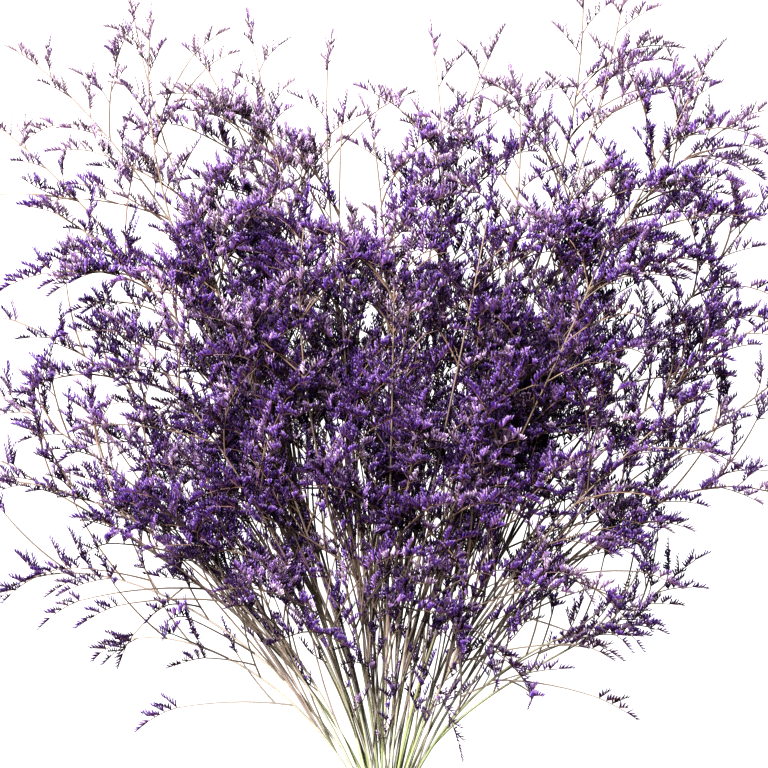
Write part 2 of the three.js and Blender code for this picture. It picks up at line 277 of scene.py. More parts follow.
@dataclass(frozen=True)
class Growth:
    """Grows every stem, branch and twig of the bunch, by the rule of the solids."""

    cut_y: float = -372
    band_y: float = -296
    band_run: float = 6.5  # half the length that the stems run straight through the band
    band_middle: float = 8.7  # its height over the table
    stem_pitch: float = 3.2
    row_pitch: float = 2.85
    tail_spread: float = 1.35  # how much further apart than in the band the cut ends are
    leaving_turn: float = 0.4  # how much of its bearing a stem has where it leaves the band
    leaving_share: float = 0.36
    leaving_rise: float = 0.2
    arriving_share: float = 0.3
    edge_drop: float = 0.35  # how much lower the tips are 60 degrees to the side
    stem_roll: float = 1.2  # how far a stem's upper side has turned to the light at its tip
    marks: int = 160
    first_mark: int = 24  # from here on the thicket knows a stem by its marks
    seed: int = 101
    seed_step: int = 37
    length_spread: Span = (0.85, 1.15)
    clearance: float = 5.5  # between the marks of two limbs
    joint_reach: float = 16  # so near to its joint a shoot may be closer to its own spray
    lowest: float = 0.72  # over the table, of any mark on a shoot
    branch_count: int = 5
    branch_stray: float = 0.2
    last_branch: float = 0.86
    steep: float = 0.75  # past this share of sideways run a stem branches on its light side only
    twig_count: int = 2
    tries: int = 9
    turn: float = 0.7  # of a shoot about its parent, from try to try
    tilt: float = 0.5  # out of the level plane at the first try, either way
    segments: int = 6
    bare: int = 2  # the segments at a shoot's foot that bear no teeth
    tooth_height: float = 12
    tooth_shrink: float = 0.4
    tooth_lean: float = 0.9
    tooth_splay: float = 0.45
    tooth_end: float = 6
    branch: ShootForm = ShootForm(0.62, 0.95, 104, 0.42)
    twig: ShootForm = ShootForm(0.75, 0.95, 60, 0)
    rows: tuple[StemRow, ...] = (
        StemRow(1.8, 14, 0.4, (
            (-304, -104, -112), (-319, -3, -60), (-310, 115, -70), (-297, 334, -50),
            (-149, 327, -30), (90, 340, 25), (305, 288, 60), (244, -98, 45),
        )),
        StemRow(46, 6, 0.38, (
            (-211, -148, -102), (-314, 53, -60), (-308, 267, -50), (-203, 358, -10),
            (-107, 340, -12), (-46, 323, 2), (41, 329, -8), (162, 374, 0),
            (312, 215, 35), (316, 61, 52), (314, -26, 105),
        )),
        StemRow(92, 4, 0.34, (
            (-297, -16, -85), (-260, 197, -60), (-185, 333, 5), (-33, 268, 4), (-8, 254, -8),
            (106, 287, -5), (188, 362, 10), (251, 308, 25), (305, 112, 60), (202, -131, 95),
        )),
        StemRow(134, 2, 0.3, (
            (-195, 103, -40), (-141, 180, -15), (-61, 184, 8), (8, 191, 0), (81, 199, 10),
            (175, 180, 20), (235, 49, 50),
        )),
    )

    def stem_line(self, row: int, place: int) -> BezierLine:
        """Lays a stem's line from the band to its tip.

        Args:
            row: Its layer, from the table up.
            place: Its place in that layer, from the left.

        Returns:
            The middle line.
        """
        form = self.rows[row]
        x, y, degrees = form.stems[place]
        across = (place - (len(form.stems) - 1) / 2) * self.stem_pitch
        up = (row - (len(self.rows) - 1) / 2) * self.row_pitch
        foot = np.array([across, self.band_y + self.band_run, self.band_middle + up])
        bearing = math.atan2(x - foot[0], y - foot[1])
        edge = abs(bearing) / (math.pi / 3)
        tip = np.array([x, y, form.tip_height * (1 - self.edge_drop * edge * edge)])
        reach = math.dist(foot, tip)
        leaving = foot + level_way(bearing * self.leaving_turn) * reach * self.leaving_share
        leaving[2] = foot[2] + (tip[2] - foot[2]) * self.leaving_rise
        arriving = tip - level_way(math.radians(degrees)) * reach * self.arriving_share
        arriving[2] = tip[2] + form.arch
        return BezierLine(foot, leaving, arriving, tip)

    def stem_station(self, line: BezierLine, share: float) -> Station:
        """Finds a place on a stem. Its upper side turns to the light towards the tip.

        Args:
            line: The stem's middle line.
            share: How far along the place is, from 0 to 1.

        Returns:
            The place.
        """
        way = line.way(share)
        angle = self.stem_roll * float(smoothstep(share, 0, 1)) * light_side(line.way(1.0))
        crest = aimed(square_to(UP, way), unit(np.cross(way, UP)), angle)
        return Station(line.at(share), way, square_to(crest, way))

    def branch_shares(self, row: int, dice: Dice) -> list[float]:
        """Spaces the branches along a stem.

        Args:
            row: The stem's layer.
            dice: The spray's draws.

        Returns:
            The shares of the stem's line at which they leave it.
        """
        first, shares = self.rows[row].first_branch, []
        for i in range(self.branch_count):
            step = (i + dice.between(-self.branch_stray, self.branch_stray)) / (self.branch_count - 1)
            shares.append(first + (self.last_branch - first) * min(max(step, 0), 1))
        return shares

    def side_shoot(
        self, parent: Station, side: int, form: ShootForm, length: float, tilt: float
    ) -> Shoot:
        """Shapes a shoot that leaves at one angle to its parent and arches out to another.

        Args:
            parent: The place where it leaves.
            side: 1 or -1 for its side of the parent.
            form: How it grows.
            length: Its length.
            tilt: How far out of the level plane it leaves.

        Returns:
            The shoot.
        """
        right, up = unit(np.cross(parent.way, UP)), square_to(UP, parent.way)
        out = aimed(right * side, up, tilt)
        bend = parent.at + aimed(parent.way, out, form.leaving) * length / 2
        line = BezierLine(parent.at, bend, bend + aimed(parent.way, out, form.arching) * length / 2)
        light = to_light(parent.way)
        stations = []
        for i in range(self.segments + 1):
            way = line.way(i / self.segments)
            stations.append(Station(line.at(i / self.segments), way, square_to(light, way)))
        return Shoot(line, side, light, stations)

    def markers(self, stations: list[Station]) -> np.ndarray:
        """Marks a shoot for the thicket, along its line and on its teeth.

        Args:
            stations: The places along it.

        Returns:
            The points.
        """
        points = [stations[-1].at + stations[-1].way * self.tooth_end]
        for i, (before, here) in enumerate(zip(stations, stations[1:])):
            run = here.at - before.at
            points += [before.at + run * share for share in (0.33, 0.67, 1)]
            if i < self.bare:
                continue
            height = self.tooth_height * (1 - self.tooth_shrink * (i / self.segments))
            splay = self.tooth_splay * (1 if i % 2 else -1)
            crest = turned(unit(before.crest + here.crest), unit(run), splay)
            points.append(before.at + run * self.tooth_lean + crest * height)
            points.append(here.at + here.crest * (self.tooth_height / 2))
        return np.array(points)

    def grow_shoot(
        self, thicket: Thicket, limbs: Limbs, parent: Station, side: int, form: ShootForm, age: float
    ) -> list[Shoot]:
        """Turns a shoot about its parent until it has room.

        Args:
            thicket: The space that is taken so far, to which the shoot is added.
            limbs: The limbs of its spray.
            parent: The place where it leaves.
            side: 1 or -1 for its side of the parent.
            form: How it grows.
            age: How near it is to the end of its parent, from 0 to 1.

        Returns:
            The one shoot, or nothing where it found no room.
        """
        length = form.length * (1 - form.taper * age) * limbs.dice.between(*self.length_spread)
        tilt = limbs.dice.between(-self.tilt, self.tilt)
        for step in range(self.tries):
            swing = self.turn * math.ceil(step / 2) * (1 if step % 2 else -1)
            shoot = self.side_shoot(parent, side, form, length, tilt + swing)
            points = self.markers(shoot.stations)
            if thicket.has_room_for(points, limbs.number, parent.at):
                thicket.add(points, limbs.number)
                return [shoot]
        return []

    def grow(self) -> list[Limbs]:
        """Grows the limbs of every spray, row by row from the table up.

        Returns:
            The limbs, by spray.
        """
        thicket = Thicket(self.clearance, self.joint_reach, self.lowest)
        marks = np.arange(self.first_mark, self.marks + 1) / self.marks
        bunch: list[Limbs] = []
        for row, form in enumerate(self.rows):
            for place in range(len(form.stems)):
                number = len(bunch)
                dice = Dice(self.seed + self.seed_step * number)
                line = self.stem_line(row, place)
                thicket.add(line.at(marks), number)
                bunch.append(Limbs(number, row, line, self.branch_shares(row, dice), dice))
        for limbs in bunch:
            for i, share in enumerate(limbs.shares):
                parent = self.stem_station(limbs.line, share)
                side = 1 if (i + limbs.number) % 2 else -1
                if abs(parent.way[0]) > self.steep:
                    side = light_side(parent.way)
                age = i / self.branch_count
                limbs.branches += self.grow_shoot(thicket, limbs, parent, side, self.branch, age)
        for limbs in bunch:
            for branch in limbs.branches:
                if len(limbs.twigs) < self.twig_count:
                    foot = branch.stations[1]
                    limbs.twigs += self.grow_shoot(thicket, limbs, foot, -branch.side, self.twig, 0)
        return bunch


# ---- Finishes ------------------------------------------------------------------------------------


def linear(colour: str) -> tuple[float, float, float, float]:
    """Turns an sRGB hex colour to linear light.

    Args:
        colour: The colour, with its #.

    Returns:
        Red, green and blue, and an alpha of 1.
    """
    parts = [int(colour[i : i + 2], 16) / 255 for i in (1, 3, 5)]
    light = [p / 12.92 if p <= 0.04045 else ((p + 0.055) / 1.055) ** 2.4 for p in parts]
    return (light[0], light[1], light[2], 1.0)


def feed(node: bpy.types.Node, inputs: dict[int | str, object]) -> None:
    """Gives inputs of a node their values and links.

    Args:
        node: The node.
        inputs: By input: a value, a socket to link, or a node whose first output is linked.
    """
    for key, value in inputs.items():
        source = value.outputs[0] if isinstance(value, bpy.types.Node) else value
        if isinstance(source, bpy.types.NodeSocket):
            node.id_data.links.new(source, node.inputs[key])
        else:
            node.inputs[key].default_value = value


def add_node(
    tree: bpy.types.NodeTree, kind: str, inputs: dict[int | str, object], **settings: object
) -> bpy.types.Node:
    """Adds a node.

    Args:
        tree: The node tree that takes it.
        kind: Its type name, without the leading ShaderNode.
        inputs: What its inputs get, as feed takes it.
        settings: Values of its properties.

    Returns:
        The new node.
    """
    node = tree.nodes.new("ShaderNode" + kind)
    for name, value in settings.items():
        setattr(node, name, value)
    feed(node, inputs)
    return node


def fill_ramp(node: bpy.types.Node, stops: Stops) -> None:
    """Sets the stops of a colour ramp.

    Args:
        node: The ramp's node.
        stops: Its new stops.
    """
    ramp = node.color_ramp
    while len(ramp.elements) > 1:
        ramp.elements.remove(ramp.elements[-1])
    for i, (place, colour) in enumerate(stops):
        element = ramp.elements[0] if i == 0 else ramp.elements.new(place)
        element.position = place
        element.color = linear(colour)


def new_material(name: str) -> tuple[bpy.types.Material, bpy.types.NodeTree, bpy.types.Node]:
    """Starts a node material.

    Args:
        name: What the real material is.

    Returns:
        The material, its tree and its Principled shader.
    """
    material = bpy.data.materials.new(name)
    material.use_nodes = True
    return material, material.node_tree, material.node_tree.nodes["Principled BSDF"]


def dress(
    shader: bpy.types.Node,
    colour: bpy.types.Node,
    pattern: bpy.types.Node,
    span: Span,
    roughness: Span,
    strength: float,
    depth: float,
) -> None:
    """Gives a shader its colour, with roughness and bump that both follow one pattern.

    Args:
        shader: The Principled shader.
        colour: The node or socket that gives its colour.
        pattern: The noise that both follow.
        span: The lowest and the highest of the pattern.
        roughness: What those become.
        strength: How strong the bump is.
        depth: How deep it is.
    """
    tree, (low, high), (gloss, matt) = shader.id_data, span, roughness
    rough = add_node(tree, "MapRange", {0: pattern, 1: low, 2: high, 3: gloss, 4: matt})
    relief = {"Height": pattern, "Strength": strength, "Distance": depth * MM}
    bump = add_node(tree, "Bump", relief)
    feed(shader, {"Base Color": colour, "Roughness": rough, "Normal": bump})


@dataclass(frozen=True)
class DyedFloretFinish:
    """Dyed dried calyx: thin papery petals, steeped in violet dye and air-dried.

    The dye takes unevenly, so comb by comb it runs from near black over violet to lavender. A
    petal is darkest and brownest at its base and palest along its dry rim. Paper scatters light,
    so the surface is rough, with hardly any gloss.
    """

    name: str = "dyed_dried_petal"
    dye: Stops = (
        (0.0, "#1c0226"), (0.2, "#270a49"), (0.35, "#35165b"), (0.5, "#462c63"),
        (0.65, "#614a70"), (0.8, "#786a79"), (0.9, "#8b7f86"), (1.0, "#9a9194"),
    )
    base: str = "#35201c"
    rim: str = "#a99c9f"
    rim_share: float = 0.28
    blotch: float = 0.22
    roughness: Span = (0.72, 0.92)
    gloss: float = 0.15
    crinkle: float = 0.15

    def material(self) -> bpy.types.Material:
        """Builds the material. U picks the dye, with painted light in it, and V runs up a petal in
        the map's upper half.

        Returns:
            The material.
        """
        material, tree, shader = new_material(self.name)
        place = add_node(tree, "UVMap", {}, uv_map=BAKE_MAP)
        axes = add_node(tree, "SeparateXYZ", {0: place})
        dye = add_node(tree, "ValToRGB", {0: axes})
        fill_ramp(dye, self.dye)
        up = add_node(tree, "MapRange", {0: axes.outputs[1], 1: 0.5, 2: 1.0})
        root = add_node(tree, "MapRange", {0: up, 1: 0.0, 2: 0.6, 3: 0.95, 4: 0.0})
        rim = add_node(tree, "MapRange", {0: up, 1: 0.62, 2: 1.0, 3: 0.0, 4: self.rim_share})
        # Blotches of dye, a millimetre or two long: about one across a petal, and two up it.
        stretched = add_node(tree, "VectorMath", {0: place, 1: (90, 9, 1)}, operation="MULTIPLY")
        blotch = add_node(tree, "TexNoise", {"Vector": stretched, "Scale": 1.0, "Detail": 2.0})
        rooted = {0: root, 6: dye, 7: linear(self.base)}
        rooted = add_node(tree, "Mix", rooted, data_type="RGBA").outputs[2]
        rimmed = {0: rim, 6: rooted, 7: linear(self.rim)}
        rimmed = add_node(tree, "Mix", rimmed, data_type="RGBA").outputs[2]
        low, high = 1 - self.blotch, 1 + self.blotch
        value = add_node(tree, "MapRange", {0: blotch, 1: 0.3, 2: 0.7, 3: low, 4: high})
        dyed = add_node(tree, "HueSaturation", {2: value, 4: rimmed})
        dress(shader, dyed, blotch, (0.3, 0.7), self.roughness, 0.3, self.crinkle)
        feed(shader, {"Specular IOR Level": self.gloss})
        return material


@dataclass(frozen=True)
class DriedStemFinish:
    """Dried herb stem: green at the cut end, grey to mauve brown higher up and in the twigs.

    The skin of a dried stem is ribbed along its length and slightly waxy, so it has a soft gloss
    that breaks up into streaks. The streaks also make its colour paler and darker: partly real
    streaking, partly painted highlights on the ribs and painted shade in the grooves. Some limbs
    are pale tan: partly bleaching, partly a painted highlight. Some dye runs back into the
    thinnest twigs.
    """

    name: str = "dried_herb_stem"
    ramp: Stops = (
        (0.0, "#9da192"), (0.2, "#8a897b"), (0.32, "#7c746b"), (0.43, "#70655f"),
        (0.55, "#625650"), (0.75, "#594940"), (1.0, "#503a38"),
    )
    fresh: Stops = (
        (0.0, "#7b8656"), (0.2, "#6b724b"), (0.32, "#66654d"), (0.43, "#60584c"),
        (0.55, "#594d41"), (0.75, "#55463b"), (1.0, "#483435"),
    )
    # pale tan of some limbs: partly bleaching, partly a painted highlight
    bleach_and_highlight: str = "#837a66"
    # colour streaks: partly real streaking, partly painted rib highlights and groove shade
    streak_and_rib_shade: float = 0.34
    roughness: Span = (0.48, 0.72)
    gloss: float = 0.4
    rib_depth: float = 0.12

    def material(self) -> bpy.types.Material:
        """Builds the material. V is how far the colour has turned, in the map's lower half.

        Returns:
            The material.
        """
        material, tree, shader = new_material(self.name)
        place = add_node(tree, "UVMap", {}, uv_map=BAKE_MAP)
        axes = add_node(tree, "SeparateXYZ", {0: place})
        along = add_node(tree, "MapRange", {0: axes.outputs[1], 1: 0.0, 2: 0.5})
        # Streaks a millimetre wide and about thirty long: real ones are finer than the eye sees.
        stretched = add_node(tree, "VectorMath", {0: place, 1: (140, 60, 1)}, operation="MULTIPLY")
        streaks = add_node(tree, "TexNoise", {"Vector": stretched, "Scale": 1.0, "Detail": 3.0})
        pale = add_node(tree, "ValToRGB", {0: along})
        fill_ramp(pale, self.ramp)
        fresh = add_node(tree, "ValToRGB", {0: along})
        fill_ramp(fresh, self.fresh)
        # Some stems dried while they were greener than others.
        spread = add_node(tree, "Math", {0: axes, 1: 47.0}, operation="MULTIPLY")
        wave = add_node(tree, "Math", {0: spread}, operation="SINE")
        greener = add_node(tree, "MapRange", {0: wave, 1: -0.2, 2: 1.0})
        ramp = add_node(tree, "Mix", {0: greener, 6: pale, 7: fresh}, data_type="RGBA").outputs[2]
        # The streaks make the skin paler and darker: partly real streaking, partly painted highlights
        # on the ribs and painted shade in the grooves.
        low, high = 1 - self.streak_and_rib_shade, 1 + self.streak_and_rib_shade
        value = add_node(tree, "MapRange", {0: streaks, 1: 0.3, 2: 0.7, 3: low, 4: high})
        limb = add_node(tree, "MapRange", {0: axes, 3: 0.55, 4: 1.75})
        # Some limbs turn pale tan: partly bleaching, partly a painted highlight where a limb catches
        # the light.
        bleach_and_highlight = add_node(tree, "MapRange", {0: axes, 1: 0.55, 2: 0.95, 3: 0.0, 4: 0.7})
        wood = {0: bleach_and_highlight, 6: ramp, 7: linear(self.bleach_and_highlight)}
        wood = add_node(tree, "Mix", wood, data_type="RGBA").outputs[2]
        tone = add_node(tree, "Math", {0: value, 1: limb}, operation="MULTIPLY")
        skin = add_node(tree, "HueSaturation", {2: tone, 4: wood})
        dress(shader, skin, streaks, (0.3, 0.7), self.roughness, 0.5, self.rib_depth)
        feed(shader, {"Specular IOR Level": self.gloss})
        return material


@dataclass(frozen=True)
class ElasticFinish:
    """Natural rubber band: calendered, cut and wound, with a dull bloom on it."""

    name: str = "natural_rubber"
    colour: str = "#b79a6c"
    worn: str = "#8f7548"
    grain: float = 0.9  # the size of the bloom's mottling
    relief: float = 0.1
    roughness: Span = (0.54, 0.74)

    def material(self) -> bpy.types.Material:
        """Builds the material: mottled tan, with a low bump from the same mottling.

        Returns:
            The material.
        """
        material, tree, shader = new_material(self.name)
        place = add_node(tree, "TexCoord", {}).outputs["Object"]
        grain = {"Vector": place, "Scale": 1 / (self.grain * MM), "Detail": 3.0}
        mottle = add_node(tree, "TexNoise", grain)
        share = add_node(tree, "MapRange", {0: mottle, 1: 0.35, 2: 0.7})
        tan = {0: share, 6: linear(self.colour), 7: linear(self.worn)}
        tan = add_node(tree, "Mix", tan, data_type="RGBA").outputs[2]
        dress(shader, tan, mottle, (0.0, 1.0), self.roughness, 0.35, self.relief)
        return material


@dataclass(frozen=True)
class LightTableFinish:
    """White acrylic sheet, lit from below as a table in a product studio is."""

    name: str = "lit_white_acrylic"
    colour: str = "#404040"
    glow: float = 0.95
    roughness: Span = (0.6, 0.8)

    def material(self) -> bpy.types.Material:
        """Builds the material: near white, evenly lit from inside, with a faint grain.

        Returns:
            The material.
        """
        material, tree, shader = new_material(self.name)
        place = add_node(tree, "TexCoord", {}).outputs["Object"]
        grain = add_node(tree, "TexNoise", {"Vector": place, "Scale": 3.0})
        rough = add_node(tree, "MapRange", {0: grain, 3: self.roughness[0], 4: self.roughness[1]})
        feed(shader, {"Roughness": rough, "Base Color": linear(self.colour)})
        feed(shader, {"Emission Color": linear("#ffffff"), "Emission Strength": self.glow})
        return material


# ---- Meshes --------------------------------------------------------------------------------------


class Skin(Enum):
    """The two finishes of a spray, by the place of their material on the piece."""

    WOOD = 0
    PETAL = 1


def add_to_scene(name: str, data: bpy.types.ID) -> bpy.types.Object:
    """Makes a new object in the scene.

    Args:
        name: Its name.
        data: Its mesh, light or camera.

    Returns:
        The object.
    """
    added = bpy.data.objects.new(name, data)
    bpy.context.scene.collection.objects.link(added)
    return added


class PieceMesh:
    """Gathers triangles and turns them into one Blender object."""

    def __init__(self) -> None:
        """Starts empty."""
        self.batches: list[tuple[np.ndarray, ...]] = []
        self.count = 0

    def add(
        self, points: np.ndarray, faces: np.ndarray, uvs: np.ndarray, skin: Skin, smooth: bool
    ) -> None:
        """Adds a batch of triangles.

        Args:
            points: Vertices, three numbers each.
            faces: Triangles, as indices into the points.
            uvs: Two numbers for each vertex.
            skin: Which finish they take.
            smooth: Whether they shade smoothly.
        """
        faces = faces.reshape(-1, 3) + self.count
        looks = np.tile([skin.value, int(smooth)], (len(faces), 1))
        self.batches.append((points.reshape(-1, 3), faces, uvs.reshape(-1, 2), looks))
        self.count += points.size // 3

    def triangles(self) -> int:
        """How many triangles it holds."""
        return sum(len(batch[1]) for batch in self.batches)

    def object(self, name: str, materials: list[bpy.types.Material]) -> bpy.types.Object:
        """Makes the Blender object, in metres and inside the solids' box.

        Args:
            name: The name of the piece.
            materials: Its finishes, in the order of their skins.

        Returns:
            The object.
        """
        points, faces, uvs, looks = (np.concatenate(parts) for parts in zip(*self.batches))
        points = np.clip(points * MM, np.array(CAD_BOX[0]) + WALL, np.array(CAD_BOX[1]) - WALL)
        mesh = bpy.data.meshes.new(name)
        mesh.vertices.add(len(points))
        mesh.vertices.foreach_set("co", points.astype(np.float32).ravel())
        mesh.loops.add(faces.size)
        mesh.loops.foreach_set("vertex_index", faces.astype(np.int32).ravel())
        mesh.polygons.add(len(faces))
        mesh.polygons.foreach_set("loop_start", np.arange(0, faces.size, 3, dtype=np.int32))
        mesh.polygons.foreach_set("loop_total", np.full(len(faces), 3, dtype=np.int32))
        mesh.polygons.foreach_set("material_index", looks[:, 0].astype(np.int32))
        mesh.polygons.foreach_set("use_smooth", looks[:, 1].astype(bool))
        layer = mesh.uv_layers.new(name=BAKE_MAP)
        layer.data.foreach_set("uv", uvs[faces.ravel()].astype(np.float32).ravel())
        mesh.update(calc_edges=True)
        mesh.validate()
        for material in materials:
            mesh.materials.append(material)
        return add_to_scene(name, mesh)


def sleeve(rings: int, sides: int) -> list[tuple[int, int, int]]:
    """Joins neighbouring rings of points.

    Args:
        rings: How many rings there are.
        sides: How many points each has.

    Returns:
        The triangles between them.
    """
    faces = []
    for ring in range(rings - 1):
        for step in range(sides):
            a, b = ring * sides + step, ring * sides + (step + 1) % sides
            faces += [(a, b + sides, b), (a, a + sides, b + sides)]
    return faces


def tubes(
    mesh: PieceMesh,
    lines: np.ndarray,
    radii: np.ndarray,
    sides: int,
    tone: np.ndarray,
    colour: np.ndarray,
    ribs: float = 0.0,
) -> None:
    """Adds round limbs that all have the same number of stations, each closed with a point.

    Args:
        mesh: What takes them.
        lines: Their middle lines, as limbs by stations by three numbers.
        radii: A radius for each station.
        sides: How many flats go round.
        tone: How pale each limb is, as its place across the map from 0 to 0.9.
        colour: How far the wood's colour has turned at each station, from 0 to 1.
        ribs: How much every other corner is drawn in, as a share of the radius.
    """
    count, stations, _ = lines.shape
    ways = unit(np.gradient(lines, axis=1))
    chord = unit(lines[:, -1] - lines[:, 0])
    reference = np.where(np.abs(chord[:, 2:3]) > 0.8, ALONG[None], UP[None])[:, None]
    up = square_to(np.broadcast_to(reference, ways.shape), ways)
    across = np.cross(ways, up)
    steps = np.arange(sides)
    rim = aimed(across[:, :, None], up[:, :, None], 2 * np.pi * steps / sides)
    drawn = (1 - ribs * (steps % 2))[:, None]
    rings = lines[:, :, None] + rim * drawn * radii[:, :, None, None]
    apex = lines[:, -1] + ways[:, -1] * radii[:, -1:] * 2
    points = np.concatenate([rings.reshape(count, -1, 3), apex[:, None]], 1)

    shape = (count, stations, sides)
    u = np.broadcast_to(tone[:, None, None] + 0.05 * np.abs(1 - 2 * steps / sides), shape)
    v = np.broadcast_to(0.005 + 0.485 * colour[:, :, None], shape)
    uvs = np.stack([u, v], -1).reshape(count, -1, 2)
    end = np.stack([tone + 0.025, 0.005 + 0.488 * colour[:, -1]], -1)
    uvs = np.concatenate([uvs, end[:, None]], 1)

    last, faces = (stations - 1) * sides, sleeve(stations, sides)
    faces += [(last + (step + 1) % sides, last + step, stations * sides) for step in steps]
    starts = np.arange(count)[:, None, None] * (stations * sides + 1)
    mesh.add(points, np.array(faces)[None] + starts, uvs, Skin.WOOD, True)


# ---- Sprays --------------------------------------------------------------------------------------


@dataclass
class Lines:
    """A batch of limbs: quadratic lines with the upper side of each, as arrays by limb."""

    start: np.ndarray
    bend: np.ndarray
    tip: np.ndarray
    crest: np.ndarray
    length: np.ndarray
    bare: np.ndarray  # the share of each that bears nothing

    def at(self, share: np.ndarray, limb: np.ndarray) -> np.ndarray:
        """Finds points on chosen limbs.

        Args:
            share: How far along they are, from 0 to 1.
            limb: Which limb each is on.

        Returns:
            The points.
        """
        t = share[..., None]
        bent = self.start[limb] * (1 - t) ** 2 + self.bend[limb] * 2 * t * (1 - t)
        return bent + self.tip[limb] * t**2

    def way(self, share: np.ndarray, limb: np.ndarray) -> np.ndarray:
        """Finds the ways in which chosen limbs run.

        Args:
            share: How far along it is asked, from 0 to 1.
            limb: Which limb each is on.

        Returns:
            Unit directions.
        """
        t = share[..., None]
        first, second = self.bend[limb] - self.start[limb], self.tip[limb] - self.bend[limb]
        return unit(first * (1 - t) + second * t)

    def sampled(self, stations: int) -> np.ndarray:
        """Samples every limb's line at even steps.

        Args:
            stations: How many points each gets, with both ends.

        Returns:
            The points, by limb and station.
        """
        shares = np.broadcast_to(np.linspace(0, 1, stations), (len(self.start), stations))
        limbs = np.broadcast_to(np.arange(len(self.start))[:, None], shares.shape)
        return self.at(shares, limbs)

    def kept(self, which: np.ndarray) -> "Lines":
        """Only some of the limbs."""
        return Lines(*(values[which] for values in vars(self).values()))

    @staticmethod
    def joined(batches: list["Lines"]) -> "Lines":
        """Several batches as one."""
        return Lines(*(np.concatenate(parts) for parts in zip(*(vars(b).values() for b in batches))))


@dataclass(frozen=True)
class Crown:
    """The flowering part as it is seen from above: its outline, clockwise, and how full it is."""

    edge: Span = (20, 190)  # the depths between which it fills up
    edge_fullness: float = 0.34  # how many of the sprigs its edge has
    inner_fullness: float = 0.76  # and how many its middle has
    outer_fullness: float = 0.1  # and how many the limbs beyond it have
    fringe: float = 6  # how far outside the outline it still counts as edge
    clump: float = 34  # the size of the clumps and gaps
    clumping: float = 0.38
    # Where it is fuller than elsewhere, or thinner: x, y, radius and how much.
    tufts: tuple[tuple[float, float, float, float], ...] = (
        (-100, 225, 45, 0.6), (-78, 308, 30, 0.8), (28, 238, 36, 0.9), (205, 195, 55, 0.45),
        (275, 190, 42, 0.45), (235, 135, 42, 0.6), (-77, -100, 45, 0.2), (-22, 260, 36, -1.3),
        (-25, 210, 26, -0.7), (-215, -112, 48, -0.6), (300, 28, 34, -0.6), (-165, 320, 45, -0.3),
        (-179, 240, 26, -0.9), (-176, -15, 34, 0.3), (-150, -62, 28, 0.3), (-290, 200, 40, -0.4),
        (228, 350, 24, 0.9), (-305, 150, 34, -0.8), (170, 290, 22, -0.3), (-20, -120, 50, -0.2),
        (20, -165, 40, 0.2), (150, -185, 28, -0.5), (165, -45, 28, 0.2), (215, 30, 28, -0.4),
        (205, 112, 24, -0.4), (255, 62, 28, 0.4), (-290, 0, 38, -0.2), (-205, 30, 30, -0.3),
        (305, 135, 30, -0.5), (-190, -130, 35, -0.3), (80, 305, 45, -0.2), (-230, 350, 30, -0.3),
        (255, 355, 26, 0.5), (-225, 138, 26, 0.6), (-282, 87, 24, 0.4), (-28, 290, 34, -1.1),
        (230, 290, 26, -0.4), (-155, 343, 26, -0.5), (195, -72, 32, -0.2), (-10, -95, 45, -0.25),
        (77, 240, 28, -0.4), (130, 240, 26, -0.5), (230, 240, 30, -0.5), (-179, 130, 24, -0.3),
        (-179, 36, 24, -0.4), (-282, 138, 20, -0.6), (-128, 345, 26, -1.2), (-100, 285, 32, 0.1),
        (-110, 240, 30, 0.1), (240, 345, 22, 0.6),
    )
    outline: tuple[tuple[float, float], ...] = (
        (-46, -160), (-98, -138), (-145, -104), (-189, -72), (-229, -44), (-278, -28), (-318, -8),
        (-318, 69), (-290, 93), (-278, 117), (-254, 138), (-262, 198), (-300, 232), (-286, 291),
        (-221, 323), (-197, 348), (-157, 336), (-108, 336), (-52, 323), (-44, 283), (-56, 230),
        (-32, 200), (-8, 208), (-10, 258), (2, 279), (37, 323), (94, 323), (110, 295), (154, 356),
        (199, 374), (238, 372), (262, 340), (276, 305), (305, 283), (325, 230), (340, 100),
        (335, -8), (284, -22), (240, -54), (205, -80), (165, -108), (126, -132), (86, -152),
        (50, -168), (13, -174), (-20, -176),
    )

    def depth(self, points: np.ndarray) -> np.ndarray:
        """Measures how deep points are inside the outline.

        Args:
            points: The points.

        Returns:
            Their depths, negative outside it.
        """
        corners = np.array(self.outline, float)
        ends = np.roll(corners, -1, 0)
        x, y = points[:, None, 0], points[:, None, 1]
        run = ends - corners
        offset = points[:, None, :2] - corners
        share = np.clip((offset * run).sum(-1) / (run * run).sum(-1), 0, 1)
        nearest = np.sqrt(((offset - share[..., None] * run) ** 2).sum(-1)).min(1)
        crosses = (corners[:, 1] > y) != (ends[:, 1] > y)
        slope = run[:, 0] / np.where(run[:, 1] == 0, 1e-9, run[:, 1])
        left = x < corners[:, 0] + (y - corners[:, 1]) * slope
        return np.where((crosses & left).sum(1) % 2, nearest, -nearest)

    def fullness(self, points: np.ndarray) -> np.ndarray:
        """Tells how full the crown is.

        Args:
            points: Where the tips of sprigs are.

        Returns:
            What share of those sprigs it has.
        """
        depth = self.depth(points)
        gain = self.inner_fullness - self.edge_fullness
        full = self.edge_fullness + gain * smoothstep(depth, *self.edge)
        x, y = points[:, 0] / self.clump, points[:, 1] / self.clump
        waves = np.sin(2.1 * x + 1.7 * np.sin(1.3 * y)) * np.sin(1.9 * y + 1.5 * np.sin(1.1 * x + 2))
        full = full + self.clumping * waves
        for tuft_x, tuft_y, radius, more in self.tufts:
            away = (points[:, 0] - tuft_x) ** 2 + (points[:, 1] - tuft_y) ** 2
            full = full + more * np.exp(-away / (2 * radius**2))
        return np.where(depth < -self.fringe, np.minimum(full, self.outer_fullness), full)


